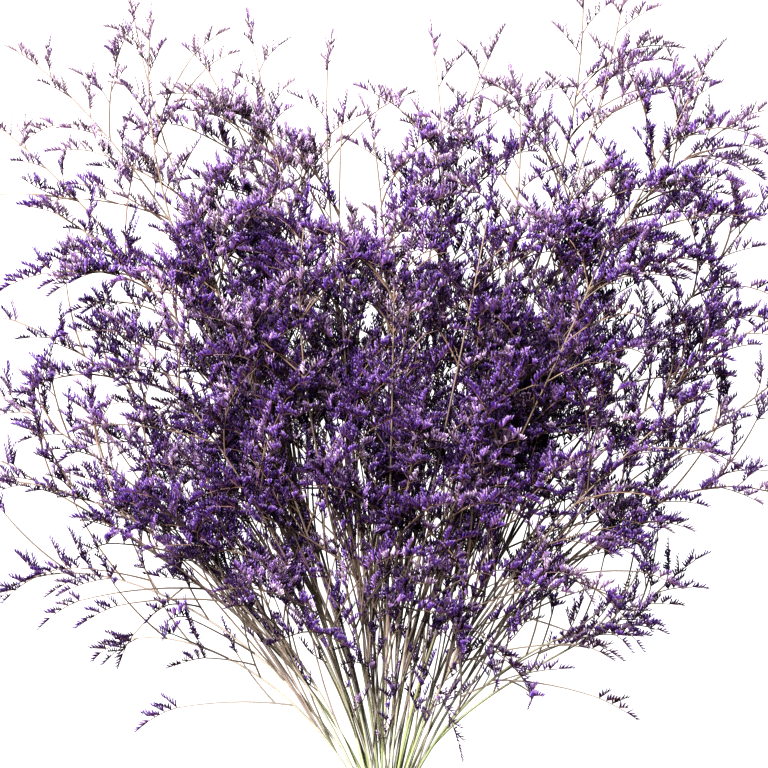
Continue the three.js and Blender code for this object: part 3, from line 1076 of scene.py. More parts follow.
class Canopy:
    """How crowded the bunch is, seen from above, so that new branches grow where there is light."""

    def __init__(self, cell: float = 18.0, across: int = 46) -> None:
        """Starts empty, with square cells of that size, so many across and along."""
        self.cell = cell
        self.counts = np.zeros((across, across))

    def places(self, points: np.ndarray) -> tuple[np.ndarray, np.ndarray]:
        """Finds the cells of points.

        Args:
            points: The points.

        Returns:
            Their two indices.
        """
        across = len(self.counts)
        cells = np.floor(points[:, :2] / self.cell).astype(int) + across // 2
        return tuple(np.clip(cells, 1, across - 2).T)

    def add(self, points: np.ndarray) -> None:
        """Counts points, each also a little for the cells beside it.

        Args:
            points: The points.
        """
        i, j = self.places(points)
        np.add.at(self.counts, (i, j), 0.6)
        for di, dj in ((0, 1), (0, -1), (1, 0), (-1, 0)):
            np.add.at(self.counts, (i + di, j + dj), 0.1)

    def crowding(self, points: np.ndarray) -> np.ndarray:
        """How crowded the cells of points are."""
        return self.counts[self.places(points)]


@dataclass(frozen=True)
class WoodForm:
    """The round wood of a batch of limbs."""

    stations: int
    sides: int
    radius: Span  # at the joint and at the tip
    turn: float  # how much browner it is than the stem beside it
    palest: float  # the tone of the palest limb, from 0 to 0.93


@dataclass(frozen=True)
class BranchForm:
    """The branches that the solids lack, by shares of their stem. Slender ones keep close to it."""

    wood: WoodForm = WoodForm(8, 5, (0.84, 0.5), 0.16, 0.66)
    bare: float = 0.24
    last: float = 0.9
    clear: Span = (3, 4)  # the least height of their bends and tips over the table
    crowd: Span = (0.35, 0.9)  # how crowded a gap in the crown may be, and how much more a full part
    tilt: Span = (-0.3, 1.1)  # out of the level plane, upwards
    early: float = 0.08  # how long before the solid's first branch they start
    length: float = 92
    length_spread: Span = (0.75, 1.25)
    angles: Span = (0.42, 1.08)  # to the stem at the joint and at the tip
    slender_early: float = 0.28
    slender_length: Span = (130, 220)
    slender_leaving: Span = (0.06, 0.2)
    slender_arching: Span = (0.15, 0.5)
    slender_bare: float = 0.74


@dataclass(frozen=True)
class SprigForm:
    """A thin sprig on a branch, or on the stem's own end."""

    wood: WoodForm = WoodForm(4, 3, (0.6, 0.42), 0.3, 0.55)
    every: float = 8.6
    jitter: float = 0.25  # of that distance, either way
    bare: Span = (0.22, 0.4)
    last: float = 0.99  # the share of a branch up to which they stand
    clear: Span = (2.5, 3)  # the least height of their bends and tips over the table
    lengths: Span = (58, 12)  # at a branch's foot and at its end
    length_spread: Span = (0.75, 1.25)
    full_branch: float = 90  # the length of branch that bears them at that size
    branch_gain: Span = (0.6, 1.15)  # their size on the shortest branches and on the longest
    end_length: Span = (18, 30)  # of the one that carries a branch on
    onward_leaving: float = 0.1  # its angle where it leaves
    onward_arching: float = 0.45  # how much of the others' arching it has
    flank: Span = (0.75, 1.65)  # how far down the flanks of a branch they stand
    leaving: Span = (0.4, 0.65)
    arching: Span = (0.85, 1.2)
    on_stem: int = 9
    stem_from: float = 0.72  # the share of the stem from which it bears sprigs itself
    stem_lengths: Span = (38, 24)
    stem_spread: Span = (0.8, 1.2)
    stem_luck: float = 0.4  # how much fuller than elsewhere the stem's own end is
    own_least: float = 0.4  # the least share of them that the solid's own branches bear
    own_from: Span = (-80, 20)  # where along Y that begins


@dataclass(frozen=True)
class CombForm:
    """A comb: a short recurved twig with two close rows of florets on its upper side."""

    every: float = 5.6
    jitter: float = 0.15  # of that distance, either way
    onwards: float = 0.9  # how far they face along the bunch
    upwards: float = 0.32
    outwards: float = 0.35  # and to their sprig's upper side
    facing: float = 0.14  # how unevenly they do
    last: float = 0.97  # the share of a sprig up to which they stand
    lowest: float = 0.4  # over the table, of their tips
    flank: Span = (0.1, 0.8)  # how far down the flanks of a sprig they stand
    leaving: Span = (0.8, 1.1)
    onward: Span = (-0.1, 0.2)  # the same for the one at a sprig's end
    end_gain: float = 1.3  # how much longer that one is
    table_reach: float = 16  # those that start lower than this turn up from the table
    length: Span = (9, 15)
    spacing: float = 1.32  # from floret to floret, by turns in the two rows
    recurve: float = 0.18  # how far it bends away from its florets, of its length
    lean: float = 0.92  # from the comb's line to a floret's
    splay: float = 0.28  # how far a floret stands out to its own side
    lean_spread: float = 0.05
    length_spread: Span = (0.9, 1.08)
    radius_spread: Span = (0.85, 1.2)
    mouth_turn: Span = (0.65, 1.2)  # from the way that its foot is wide to the way of its mouth
    dye_spread: float = 0.08  # from floret to floret
    floret_length: float = 5.3
    floret_shrink: float = 0.26  # how much shorter the last one is
    floret_radius: float = 0.63  # of its mouth
    foot_radius: float = 0.66  # of its foot, which its bract holds
    lobe: float = 0.12  # how unevenly the mouth's two lobes stand, of the length
    bract_radius: float = 0.6  # of the overlapping bracts that the florets stand in
    bract_gain: Span = (0.75, 1.15)  # their width on the shortest combs and on the longest
    bract_widest: float = 0.14  # the share of the comb at which they are widest
    least: float = 4  # nothing shorter grows


@dataclass(frozen=True)
class DyeAndLightForm:
    """How the dye took, from 0 for near black to 1 for faded, and the painted light that makes
    the upper layers and the outer, top and left combs paler.
    """

    lot: Span = (-0.12, 0.14)  # from spray to spray
    of_sprig: float = 0.5  # how much of it the combs of one sprig have in common
    of_comb: float = 0.34  # how much is a comb's own
    of_patch: float = 0.36  # how much is the patch's
    height_painted_light: float = 0.1  # painted light: how much paler the upper layers are, the deeper ones left in painted shade
    height: Span = (40, 150)  # where over the table they begin
    palest: float = 0.76
    patch: float = 34  # the size of the paler and darker patches
    edge: float = 130  # how deep inside the crown's outline its edge reaches
    edge_painted_light: float = 0.82  # painted light: how much paler the outer combs are, as where light shines through them
    flank_painted_light: float = 0.36  # the flanks' share of that
    shoulder_painted_light: float = 0.66  # and the left shoulder's, on the side that the key light falls on
    bleach_and_highlight: float = 0.9  # the pale dye that the painted light takes them towards
    side: Span = (-170, 0)  # where along Y the painted light on the flanks begins
    top: Span = (140, 300)  # and where the top does
    shoulder: Span = (130, 240)  # and where the left shoulder does
    shoulder_x: Span = (-70, 10)
    faded: float = 0.015  # the share of combs that faded all over
    faded_dye: Span = (0.5, 0.7)


@dataclass
class Spray:
    """One spray of statice, made over the solid of the same number."""

    limbs: Limbs
    growth: Growth
    branch: BranchForm = BranchForm()
    sprig: SprigForm = SprigForm()
    comb: CombForm = CombForm()
    dye: DyeAndLightForm = DyeAndLightForm()
    crown: Crown = Crown()
    seed: int = 7000
    stem_radius: Span = (1.42, 0.66)
    stem_sides: int = 10
    stem_ribs: float = 0.22  # how deep its ribs are, as a share of its radius
    stem_tone: Span = (0.12, 0.46)  # from the darkest stem to the palest, across the map
    stem_stations: int = 26
    pith: float = 0.86  # the pale pith's share of the cut end's radius
    own_luck: float = 0.5  # how far the sprigs of one branch are dressed alike
    gap: float = -0.35  # the fullness below which the crown has a clear gap
    colour_turns: Span = (-340, -20)  # from green to brown, along Y
    brownest: float = 0.62  # how far a stem's colour has turned by then

    def __post_init__(self) -> None:
        """Seeds the spray's own draws."""
        self.draw = np.random.default_rng(self.seed + self.limbs.number)
        self.dye_lot = self.draw.uniform(*self.dye.lot)
        self.mesh = PieceMesh()
        self.limb_batches: list[Lines] = []
        self.stray_sprigs: list[Lines] = []
        self.own = 0  # how many of the dressed branches are the solid's
        self.luck = np.zeros(0)  # of each dressed branch
        self.sprig_of = np.zeros(0, int)  # the sprig of each comb

    def stem(self) -> None:
        """The stem, from its slanting cut end through the band to its tip."""
        line, growth = self.limbs.line, self.growth
        foot = line.controls[0]
        cut_z = growth.band_middle + (foot[2] - growth.band_middle) * growth.tail_spread
        cut = np.array([foot[0] * growth.tail_spread, growth.cut_y, cut_z])
        below = np.array([foot[0], growth.band_y - growth.band_run, foot[2]])
        tail = np.array([cut, cut + (below - cut) * 0.5, below])
        points = np.concatenate([tail, line.at(np.linspace(0, 1, self.stem_stations))])
        radii = np.linspace(*self.stem_radius, len(points))
        colour, tone = self.stem_colour(points)[None], self.draw.uniform(*self.stem_tone, 1)
        sides, ribs = self.stem_sides, self.stem_ribs
        tubes(self.mesh, points[None], radii[None], sides, tone, colour, ribs)
        self.cut_end(points[0], radii[0])

    def cut_end(self, at: np.ndarray, radius: float) -> None:
        """Closes the stem's cut end with its pale pith.

        Args:
            at: The middle of the end.
            radius: The stem's radius there.
        """
        sides = self.stem_sides
        angles = 2 * np.pi * np.arange(sides) / sides
        rim = np.stack([np.cos(angles), np.zeros(sides), np.sin(angles)], -1) * radius * self.pith
        points = np.concatenate([at + rim, at[None]])
        faces = np.array([(i, (i + 1) % sides, sides) for i in range(sides)])
        place = np.arange(sides + 1)
        uvs = np.stack([0.3 + 0.02 * np.cos(place), 0.002 + 0.004 * np.sin(place) ** 2], -1)
        self.mesh.add(points, faces, uvs, Skin.WOOD, False)

    def stem_colour(self, points: np.ndarray) -> np.ndarray:
        """How far the wood has turned from green to brown at points."""
        low, high = self.colour_turns
        return np.clip((points[..., 1] - low) / (high - low), 0, 1) * self.brownest

    def own_branches(self, canopy: Canopy) -> None:
        """Takes over the branches and twigs that the solid has.

        Args:
            canopy: How crowded the bunch is, to which they are added.
        """
        same = self.limbs.branches + self.limbs.twigs
        if not same:
            return
        controls = np.array([shoot.line.controls for shoot in same])
        light = np.array([shoot.light for shoot in same])
        crest = square_to(light, unit(controls[:, 2] - controls[:, 0]))
        lengths = np.array([shoot.line.length() for shoot in same])
        bare = np.full(len(same), self.branch.bare)
        lines = Lines(*controls.transpose(1, 0, 2), crest, lengths, bare)
        self.limb_batches.append(lines)
        canopy.add(lines.sampled(8)[:, 2:].reshape(-1, 3))

    def grow_branch(self, canopy: Canopy, choices: int, slender: bool) -> None:
        """Grows one more branch, where it finds the most light.

        Args:
            canopy: How crowded the bunch already is.
            choices: How many places on the stem are tried.
            slender: Whether it is a long thin one that keeps close to its stem.
        """
        form, draw, stem = self.branch, self.draw, self.limbs.line
        first = self.growth.rows[self.limbs.row].first_branch
        low, high = (first - form.slender_early, first) if slender else (first - form.early, form.last)
        share = draw.uniform(low, high, choices)
        at, way = stem.at(share), stem.way(share)
        side, tilt = draw.choice([-1.0, 1.0], choices), draw.uniform(*form.tilt, choices)
        if slender:
            length = draw.uniform(*form.slender_length, choices)
            leaving, arching = draw.uniform(*form.slender_leaving), draw.uniform(*form.slender_arching)
        else:
            length = form.length * (1.05 - 0.5 * share)
            length = length * draw.uniform(*form.length_spread, choices)
            leaving, arching = form.angles
        right, up = unit(np.cross(way, UP)), square_to(np.broadcast_to(UP, way.shape), way)
        out = aimed(right * side[:, None], up, tilt)
        bend = at + aimed(way, out, leaving) * length[:, None] / 2
        tip = bend + aimed(way, out, arching) * length[:, None] / 2
        bend[:, 2] = np.maximum(bend[:, 2], form.clear[0])
        tip[:, 2] = np.maximum(tip[:, 2], form.clear[1])
        bare = np.full(choices, form.slender_bare if slender else form.bare)
        lines = Lines(at, bend, tip, square_to(to_light(way), unit(tip - at)), length, bare)

        outer = lines.sampled(8)[:, 5 if slender else 3 :]
        points, shape = outer.reshape(-1, 3), (choices, -1)
        beyond = (self.crown.depth(points).reshape(shape).min(1) < 0) | ~self.inside(outer, -4).all(1)
        full = self.crown.fullness(points).reshape(shape).mean(1)
        wanted = form.crowd[0] + form.crowd[1] * np.clip(full, 0, 1.5)
        score = canopy.crowding(points).reshape(shape).mean(1) / wanted
        score = np.where(beyond, np.inf, score)
        best = int(np.argmin(score))
        if np.isfinite(score[best]):
            self.limb_batches.append(lines.kept(np.array([best])))
            canopy.add(outer[best])

    def dressed_branches(self) -> Lines:
        """Picks the solid's own branches, and those of the others that bear enough sprigs.

        Returns:
            The branches.
        """
        branches = Lines.joined(self.limb_batches)
        own, total = len(self.limbs.branches + self.limbs.twigs), len(branches.length)
        luck = self.draw.uniform(0, 1, total)
        luck[:own] *= 0.5
        ends = branches.sampled(4)[:, 2:].reshape(-1, 3)
        full = self.crown.fullness(ends).reshape(total, 2).mean(1)
        kept = (self.own_luck * luck + (1 - self.own_luck) * 0.45 < full) | (np.arange(total) < own)
        self.luck, self.own = luck[kept], own
        return branches.kept(kept)

    def sprig_feet(self, branches: Lines) -> tuple[np.ndarray, np.ndarray, np.ndarray]:
        """Spaces sprigs along the branches.

        Args:
            branches: The branches that bear them.

        Returns:
            The share of its branch at which each stands, that branch, and its length.
        """
        form, draw = self.sprig, self.draw
        shares, limbs = [], []
        for i, (length, bare) in enumerate(zip(branches.length, branches.bare)):
            count = max(3, round(length * (1 - bare) / form.every))
            jitter = draw.uniform(-form.jitter, form.jitter, count)
            steps = (np.arange(count) + jitter) / (count - 1)
            shares.append(np.clip(bare + (form.last - bare) * steps, bare * 0.8, form.last))
            limbs.append(np.full(count, i))
        share, limb = np.concatenate(shares), np.concatenate(limbs)
        foot_length, tip_length = form.lengths
        length = tip_length + (foot_length - tip_length) * (1 - share) ** 1.2
        length = length * draw.uniform(*form.length_spread, len(share))
        length *= np.clip(branches.length[limb] / form.full_branch, *form.branch_gain)
        return share, limb, length

    def sprigs(self, branches: Lines) -> Lines:
        """Grows thin sprigs by turns on both flanks of the branches, and on the stem's end.

        Args:
            branches: The branches that bear them.

        Returns:
            The sprigs.
        """
        form, draw, stem = self.sprig, self.draw, self.limbs.line
        share, limb, length = self.sprig_feet(branches)

        # One at the end of every branch, which it carries on.
        along, ends = len(limb), len(branches.length)
        share, limb = np.append(share, np.ones(ends)), np.append(limb, np.arange(ends))
        at, way = branches.at(share, limb), branches.way(share, limb)
        crest = square_to(branches.crest[limb], way)
        length = np.append(length, draw.uniform(*form.end_length, ends))

        # And some on the stem's own end, the last of them at its very tip.
        count, rise = form.on_stem, 1 - form.stem_from
        high = form.stem_from + rise * np.linspace(0, 1, count) + draw.uniform(-0.015, 0, count)
        onward_way = stem.way(high)
        at, way = np.concatenate([at, stem.at(high)]), np.concatenate([way, onward_way])
        upper = square_to(ALONG + UP * 0.8 + onward_way, onward_way)
        crest = np.concatenate([crest, upper])
        longest, shortest = form.stem_lengths
        reach = longest - (longest - shortest) / rise * (high - form.stem_from)
        length = np.append(length, reach * draw.uniform(*form.stem_spread, count))

        total = len(length)
        onward = np.zeros(total, bool)
        onward[along : along + ends] = onward[-1] = True
        flank = np.where(np.arange(total) % 2, 1.0, -1.0)
        out = turned(crest, way, flank * draw.uniform(*form.flank, total))
        out = np.where(onward[:, None], turned(crest, way, np.pi + 0.3 * flank), out)
        leaving, arching = draw.uniform(*form.leaving, total), draw.uniform(*form.arching, total)
        first = aimed(way, out, np.where(onward, form.onward_leaving, leaving))
        second = aimed(way, out, np.where(onward, arching * form.onward_arching, arching))
        length = np.minimum(length, self.room(at, unit(first + second)) - 3)
        half = length[:, None] / 2
        bend = at + first * half
        tip = bend + second * half
        bend[:, 2] = np.maximum(bend[:, 2], form.clear[0])
        tip[:, 2] = np.maximum(tip[:, 2], form.clear[1])
        bare = np.where(onward, 0.0, draw.uniform(*form.bare, total))
        lines = Lines(at, bend, tip, square_to(crest, unit(tip - at)), length, bare)
        kept = self.in_crown(lines, limb, along) | onward
        kept &= (length > self.comb.least) & self.inside(tip, 0)
        return Lines.joined([lines.kept(kept), *self.stray_sprigs])

    def in_crown(self, sprigs: Lines, limb: np.ndarray, along: int) -> np.ndarray:
        """Picks the sprigs that the crown is full enough for.

        Args:
            sprigs: The sprigs, with those on the stem's own end last.
            limb: The branch of each of the others.
            along: How many of them stand along the branches, which come first.

        Returns:
            Which sprigs it is.
        """
        form, total = self.sprig, len(sprigs.length)
        fullness = self.crown.fullness(sprigs.tip)
        fullness[-form.on_stem :] += form.stem_luck
        least = form.own_least * smoothstep(sprigs.tip[:, 1], *form.own_from) * (fullness > self.gap)
        own = np.append(limb[:along] < self.own, np.zeros(total - along, bool))
        fullness = np.where(own, np.maximum(fullness, least), fullness)
        luck = np.append(self.luck[limb], np.zeros(form.on_stem))
        lot = self.own_luck * luck + (1 - self.own_luck) * self.draw.uniform(0, 1, total)
        return lot < fullness

    def inside(self, points: np.ndarray, margin: float) -> np.ndarray:
        """Which points lie inside the solids' box, give or take a margin."""
        low, high = np.array(CAD_BOX[0]) / MM - margin, np.array(CAD_BOX[1]) / MM + margin
        return ((points > low) & (points < high)).all(-1)

    def room(self, points: np.ndarray, ways: np.ndarray) -> np.ndarray:
        """Measures the room up to a side or the top of the solids' box.

        Args:
            points: Where it is measured from.
            ways: The unit ways in which it is.

        Returns:
            The distances.
        """
        wall = np.where(ways > 0, np.array(CAD_BOX[1]) / MM, np.array(CAD_BOX[0]) / MM)
        far = (wall - points) / np.where(np.abs(ways) < 1e-6, 1e-6, ways)
        far[:, 2] = np.where(ways[:, 2] < 0, 1e6, far[:, 2])
        return np.maximum(far.min(-1), 0)

    def combs(self, sprigs: Lines) -> Lines:
        """Grows combs by turns on both sides of the sprigs' outer part, and one at each end.

        Args:
            sprigs: The sprigs that bear them.

        Returns:
            The combs.
        """
        form, draw = self.comb, self.draw
        shares, limbs = [], []
        for i, (length, bare) in enumerate(zip(sprigs.length, sprigs.bare)):
            count = max(1, round(length * (1 - bare) / form.every))
            steps = (np.arange(count) + draw.uniform(-form.jitter, form.jitter, count)) / count
            steps = np.clip(bare + (form.last - bare) * steps, 0.0, 0.96)
            shares.append(np.append(steps, 1.0))
            limbs.append(np.full(count + 1, i))
        share, limb = np.concatenate(shares), np.concatenate(limbs)
        end, total = share == 1.0, len(share)
        at, way = sprigs.at(share, limb), sprigs.way(share, limb)
        face = ALONG * form.onwards + UP * form.upwards + sprigs.crest[limb] * form.outwards
        face = face + draw.normal(0, form.facing, (total, 3))
        flank = np.where(np.arange(total) % 2, 1.0, -1.0)
        out = turned(square_to(face, way), way, flank * draw.uniform(*form.flank, total))
        wide = draw.uniform(*form.leaving, total) - 0.3 * share
        axis = unit(aimed(way, out, np.where(end, draw.uniform(*form.onward, total), wide)))
        length = draw.uniform(*form.length, total) * (1.1 - 0.3 * share)
        length = np.where(end, length * form.end_gain, length)
        low = at[:, 2] < form.table_reach
        axis[:, 2] = np.where(low, np.abs(axis[:, 2]), axis[:, 2])
        upper = square_to(face, axis)
        upper[:, 2] = np.where(low, np.abs(upper[:, 2]), upper[:, 2])
        upper = square_to(upper, axis)
        length = np.minimum(length, self.room(at, axis) - 0.5)
        drop = upper * (length * form.recurve / 2)[:, None]
        bend, tip = at + axis * (length / 2)[:, None] + drop, at + axis * length[:, None] - drop
        combs = Lines(at, bend, tip, upper, length, np.zeros(total))
        kept = self.inside(tip, 0) & (tip[:, 2] > form.lowest) & (length > form.least)
        self.sprig_of = limb[kept]
        return combs.kept(kept)

    def comb_dye_and_light(self, combs: Lines) -> np.ndarray:
        """Dyes the combs. Neighbours are alike. Painted light makes the upper layers and the outer,
        top and left combs paler.

        Args:
            combs: The combs.

        Returns:
            How pale each one's dye is, with the painted light in it.
        """
        form, draw, count = self.dye, self.draw, len(combs.length)
        x, y, z = combs.start.T / form.patch
        drift = np.sin(1.9 * x + 1.6 * np.sin(1.3 * y + z)) * np.sin(2.1 * y + 1.4 * np.sin(1.7 * x))
        alike = draw.beta(1.4, 2.2, int(self.sprig_of.max()) + 1)[self.sprig_of]
        shade = form.of_sprig * alike + form.of_comb * draw.beta(1.4, 2.2, count)
        shade = shade + self.dye_lot + form.of_patch * drift
        x, y, z = combs.start.T
        # Painted light and shade: the upper layers paler, the deeper ones darker.
        shade = np.clip(shade + form.height_painted_light * smoothstep(z, *form.height), 0, form.palest)
        # Painted light: the outer combs, the flanks, the top and the left shoulder paler, where the
        # light falls on them and shines through.
        outer = 1 - smoothstep(self.crown.depth(combs.start), 0, form.edge)
        side, top = smoothstep(y, *form.side), smoothstep(y, *form.top)
        left = (1 - smoothstep(x, *form.shoulder_x)) * smoothstep(y, *form.shoulder)
        pale = np.maximum(form.flank_painted_light * side * outer, top * (0.35 + 0.65 * outer))
        painted_light = form.edge_painted_light * np.maximum(pale, form.shoulder_painted_light * left)
        shade = shade * (1 - painted_light) + form.bleach_and_highlight * painted_light
        faded = draw.uniform(0, 1, count) < form.faded
        return np.where(faded, draw.uniform(*form.faded_dye, count), shade)

    def bracts(self, combs: Lines, dye_and_light: np.ndarray) -> None:
        """Makes the brown bracts along each comb, as one slender spindle that it grows on.

        Args:
            combs: The combs.
            How pale each one's dye is, with the painted light in it.
        """
        count = len(combs.length)
        limbs, middle = np.arange(count), np.full(count, self.comb.bract_widest)
        radius = self.comb.bract_radius * np.clip(combs.length / 10, *self.comb.bract_gain)
        at, way = combs.at(middle, limbs), combs.way(middle, limbs)
        crest = square_to(combs.crest, way)
        across = np.cross(way, crest)
        corners = [combs.start]
        for angle in (math.pi / 2, math.pi * 7 / 6, math.pi * 11 / 6):
            spoke = across * math.cos(angle) + crest * (math.sin(angle) + 0.4)
            corners.append(at + spoke * radius[:, None])
        points = np.stack([*corners, combs.tip], 1)
        u = np.clip(dye_and_light * 0.9, *DYES)[:, None] + PETAL_HALF * np.array([0, 0, -1, 1, 0])
        v = np.broadcast_to(0.51 + 0.48 * np.array([0.02, 0.1, 0.06, 0.06, 0.2]), u.shape)
        faces = np.array([(0, 1, 2), (0, 2, 3), (0, 3, 1), (4, 2, 1), (4, 3, 2), (4, 1, 3)])
        starts = 5 * limbs[:, None, None]
        self.mesh.add(points, faces[None] + starts, np.stack([u, v], -1), Skin.PETAL, True)

    def florets(self, combs: Lines, dye_and_light: np.ndarray) -> None:
        """Makes two close rows of florets on every comb, each a slender closed calyx.

        Args:
            combs: The combs.
            How pale each one's dye is, with the painted light in it.
        """
        form, draw = self.comb, self.draw
        counts = np.maximum(3, np.round(combs.length / form.spacing)).astype(int)
        limb = np.repeat(np.arange(len(counts)), counts)
        order = np.concatenate([np.arange(count) for count in counts])
        share, total = (order + 0.5) / counts[limb], len(limb)
        at, way = combs.at(share, limb), combs.way(share, limb)
        crest = square_to(combs.crest[limb], way)
        side = np.cross(way, crest) * np.where(order % 2, form.splay, -form.splay)[:, None]
        lean = form.lean - 0.25 * share + draw.normal(0, form.lean_spread, total)
        stray = draw.normal(0, form.lean_spread, (total, 3))
        direction = unit(aimed(way, crest, lean) + side + stray)
        length = form.floret_length * (1 - form.floret_shrink * share**2)
        length = length * draw.uniform(*form.length_spread, total)
        radius = form.floret_radius * (1 - 0.25 * share) * draw.uniform(*form.radius_spread, total)
        mouth = at + direction * length[:, None]
        kept = self.inside(mouth, 0.5)
        limb, at, direction, mouth = limb[kept], at[kept], direction[kept], mouth[kept]
        way, length, radius, total = way[kept], length[kept], radius[kept], int(kept.sum())

        # Its foot is as wide as its bract, along the comb, and its mouth opens across that.
        foot = square_to(way, direction)
        lip = aimed(foot, np.cross(direction, foot), draw.uniform(*form.mouth_turn, total))
        lip = lip * radius[:, None]
        lobe = direction * (length * draw.uniform(-form.lobe, form.lobe, total))[:, None]
        foot = foot * form.foot_radius
        points = np.stack([at - foot, at + foot, mouth - lip - lobe, mouth + lip + lobe], 1)
        dye = np.clip(dye_and_light[limb] + draw.normal(0, form.dye_spread, total), *DYES)
        u = dye[:, None] + PETAL_HALF * np.array([-1, 1, -1, 1])
        v = np.broadcast_to(np.array([0.53, 0.55, 0.97, 0.99]), (total, 4))
        faces = np.array([(0, 1, 2), (1, 3, 2), (0, 2, 3), (0, 3, 1)])
        starts = 4 * np.arange(total)[:, None, None]
        self.mesh.add(points, faces[None] + starts, np.stack([u, v], -1), Skin.PETAL, False)

    def wood(self, lines: Lines, form: WoodForm) -> None:
        """Adds a batch of limbs as round wood.

        Args:
            lines: The limbs.
            form: How round, thick and brown they are.
        """
        points = lines.sampled(form.stations)
        radii = np.broadcast_to(np.linspace(*form.radius, form.stations), points.shape[:2])
        colour = np.clip(self.stem_colour(points) + form.turn, 0, 0.98)
        tone = self.draw.beta(1.2, 2.2, len(points)) * form.palest
        tone *= 0.2 + 0.8 * smoothstep(lines.tip[:, 1], -170, -30)  # low ones keep their brown skin
        tubes(self.mesh, points, radii, form.sides, tone, colour)

    def build(self, materials: list[bpy.types.Material]) -> None:
        """Makes the spray and puts it in the place of its solid.

        Args:
            materials: The finishes, in the order of their skins.
        """
        self.stem()
        branches = self.dressed_branches()
        sprigs = self.sprigs(branches)
        combs = self.combs(sprigs)
        self.wood(branches, self.branch.wood)
        self.wood(sprigs, self.sprig.wood)
        dye_and_light = self.comb_dye_and_light(combs)
        self.bracts(combs, dye_and_light)
        self.florets(combs, dye_and_light)
        node = f"spray_{self.limbs.number + 1:02d}"
        piece = self.mesh.object(f"{node}_fine", materials)
        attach(piece, "root")
        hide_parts(node)
        counts = [len(lines.length) for lines in (branches, sprigs, combs)]
        LOG.info("%s: %d branches, %d sprigs, %d combs", piece.name, *counts)


@dataclass
class Bunch:
    """All the sprays, whose thinner branches grow round by round towards the light."""

    growth: Growth = Growth()
    slender_rounds: int = 12
    rounds: int = 6
    choices: int = 7
    stray_fullness: float = 0.85  # how closely the stray sprigs bear combs
    # Small sprigs low down on the bare stems: x, y, their run across and along, the bare share.
    strays: tuple[tuple[float, ...], ...] = (
        (72, -146, 42, -34, 0.5), (40, -176, 27, -62, 0.25), (-32, -196, 8, 20, 0.3),
        *((x, y, across, along, 0.3) for x, y, across, along in (
            (-24, -214, 12, 16), (6, -222, 4, 22), (-6, -240, 12, 16), (30, -196, 10, 22),
            (12, -206, -8, 24), (-52, -176, -18, 14), (20, -184, 14, 20), (36, -208, 16, 12),
            (-70, -150, -22, 16), (-40, -150, 16, 20), (54, -160, 24, 14), (0, -168, -12, 22),
            (-14, -190, 10, 24), (46, -186, 18, 18), (26, -226, 10, 20), (-60, -128, -26, 20),
            (-84, -138, -24, 14), (-28, -132, -18, 26), (10, -140, 16, 26), (34, -134, 22, 22),
            (70, -138, 28, 14), (-50, -196, -16, 18), (52, -206, 20, 12), (-10, -152, 14, 26),
            (8, -176, 12, 18), (24, -160, -10, 22), (40, -150, 14, 20), (16, -214, 12, 18),
            (44, -168, 12, 18), (30, -206, -8, 18), (22, -190, 10, 20), (4, -204, 8, 20),
            (34, -180, -10, 18), (-100, -112, -20, 16), (-118, -94, -16, 20), (-88, -98, -22, 14),
            (-74, -114, -18, 20), (-130, -78, -20, 18), (-106, -74, 14, 22), (-92, -132, -18, 12),
            (-64, -100, 12, 24), (-138, -98, -22, 10), (-80, -156, -20, 10), (-112, -124, -22, 8),
            (-56, -148, -14, 20), (110, -104, 22, 16), (126, -116, 24, 8), (138, -106, 20, 14),
            (100, -124, 24, 10), (124, -92, 16, 20), (88, -140, 26, 6),
        )),
    )

    def add_strays(self, sprays: list[Spray]) -> None:
        """Gives each stray sprig to the uppermost stem near its foot.

        Args:
            sprays: The sprays, by number.
        """
        shares = np.linspace(0.02, 0.45, 120)
        stems = np.array([spray.limbs.line.at(shares) for spray in sprays])
        for x, y, across, along, bare in self.strays:
            away = np.hypot(stems[..., 0] - x, stems[..., 1] - y)
            best = np.argmax(np.where(away < max(6.0, away.min() + 1), stems[..., 2], -1))
            number, place = np.unravel_index(best, away.shape)
            start, run = stems[number, place], np.array([across, along, 8.0])
            bend = start + run * 0.5 + UP * 6 + np.array([across * 0.2, 0, 0])
            crest = square_to(UP + ALONG * 0.4, unit(run))
            length = math.hypot(across, along) * self.stray_fullness
            sprig = (start, bend, start + run, crest, length, bare)
            sprays[number].stray_sprigs.append(Lines(*(np.array([value]) for value in sprig)))

    def build(self) -> None:
        """Builds every spray."""
        canopy = Canopy()
        sprays = [Spray(limbs, self.growth) for limbs in self.growth.grow()]
        for spray in sprays:
            spray.own_branches(canopy)
        for step in range(self.slender_rounds + self.rounds):
            for spray in sprays:
                spray.grow_branch(canopy, self.choices, step < self.slender_rounds)
        self.add_strays(sprays)
        materials = [DriedStemFinish().material(), DyedFloretFinish().material()]
        for spray in sprays:
            spray.build(materials)
        LOG.info("sprays: %d triangles in all", sum(spray.mesh.triangles() for spray in sprays))


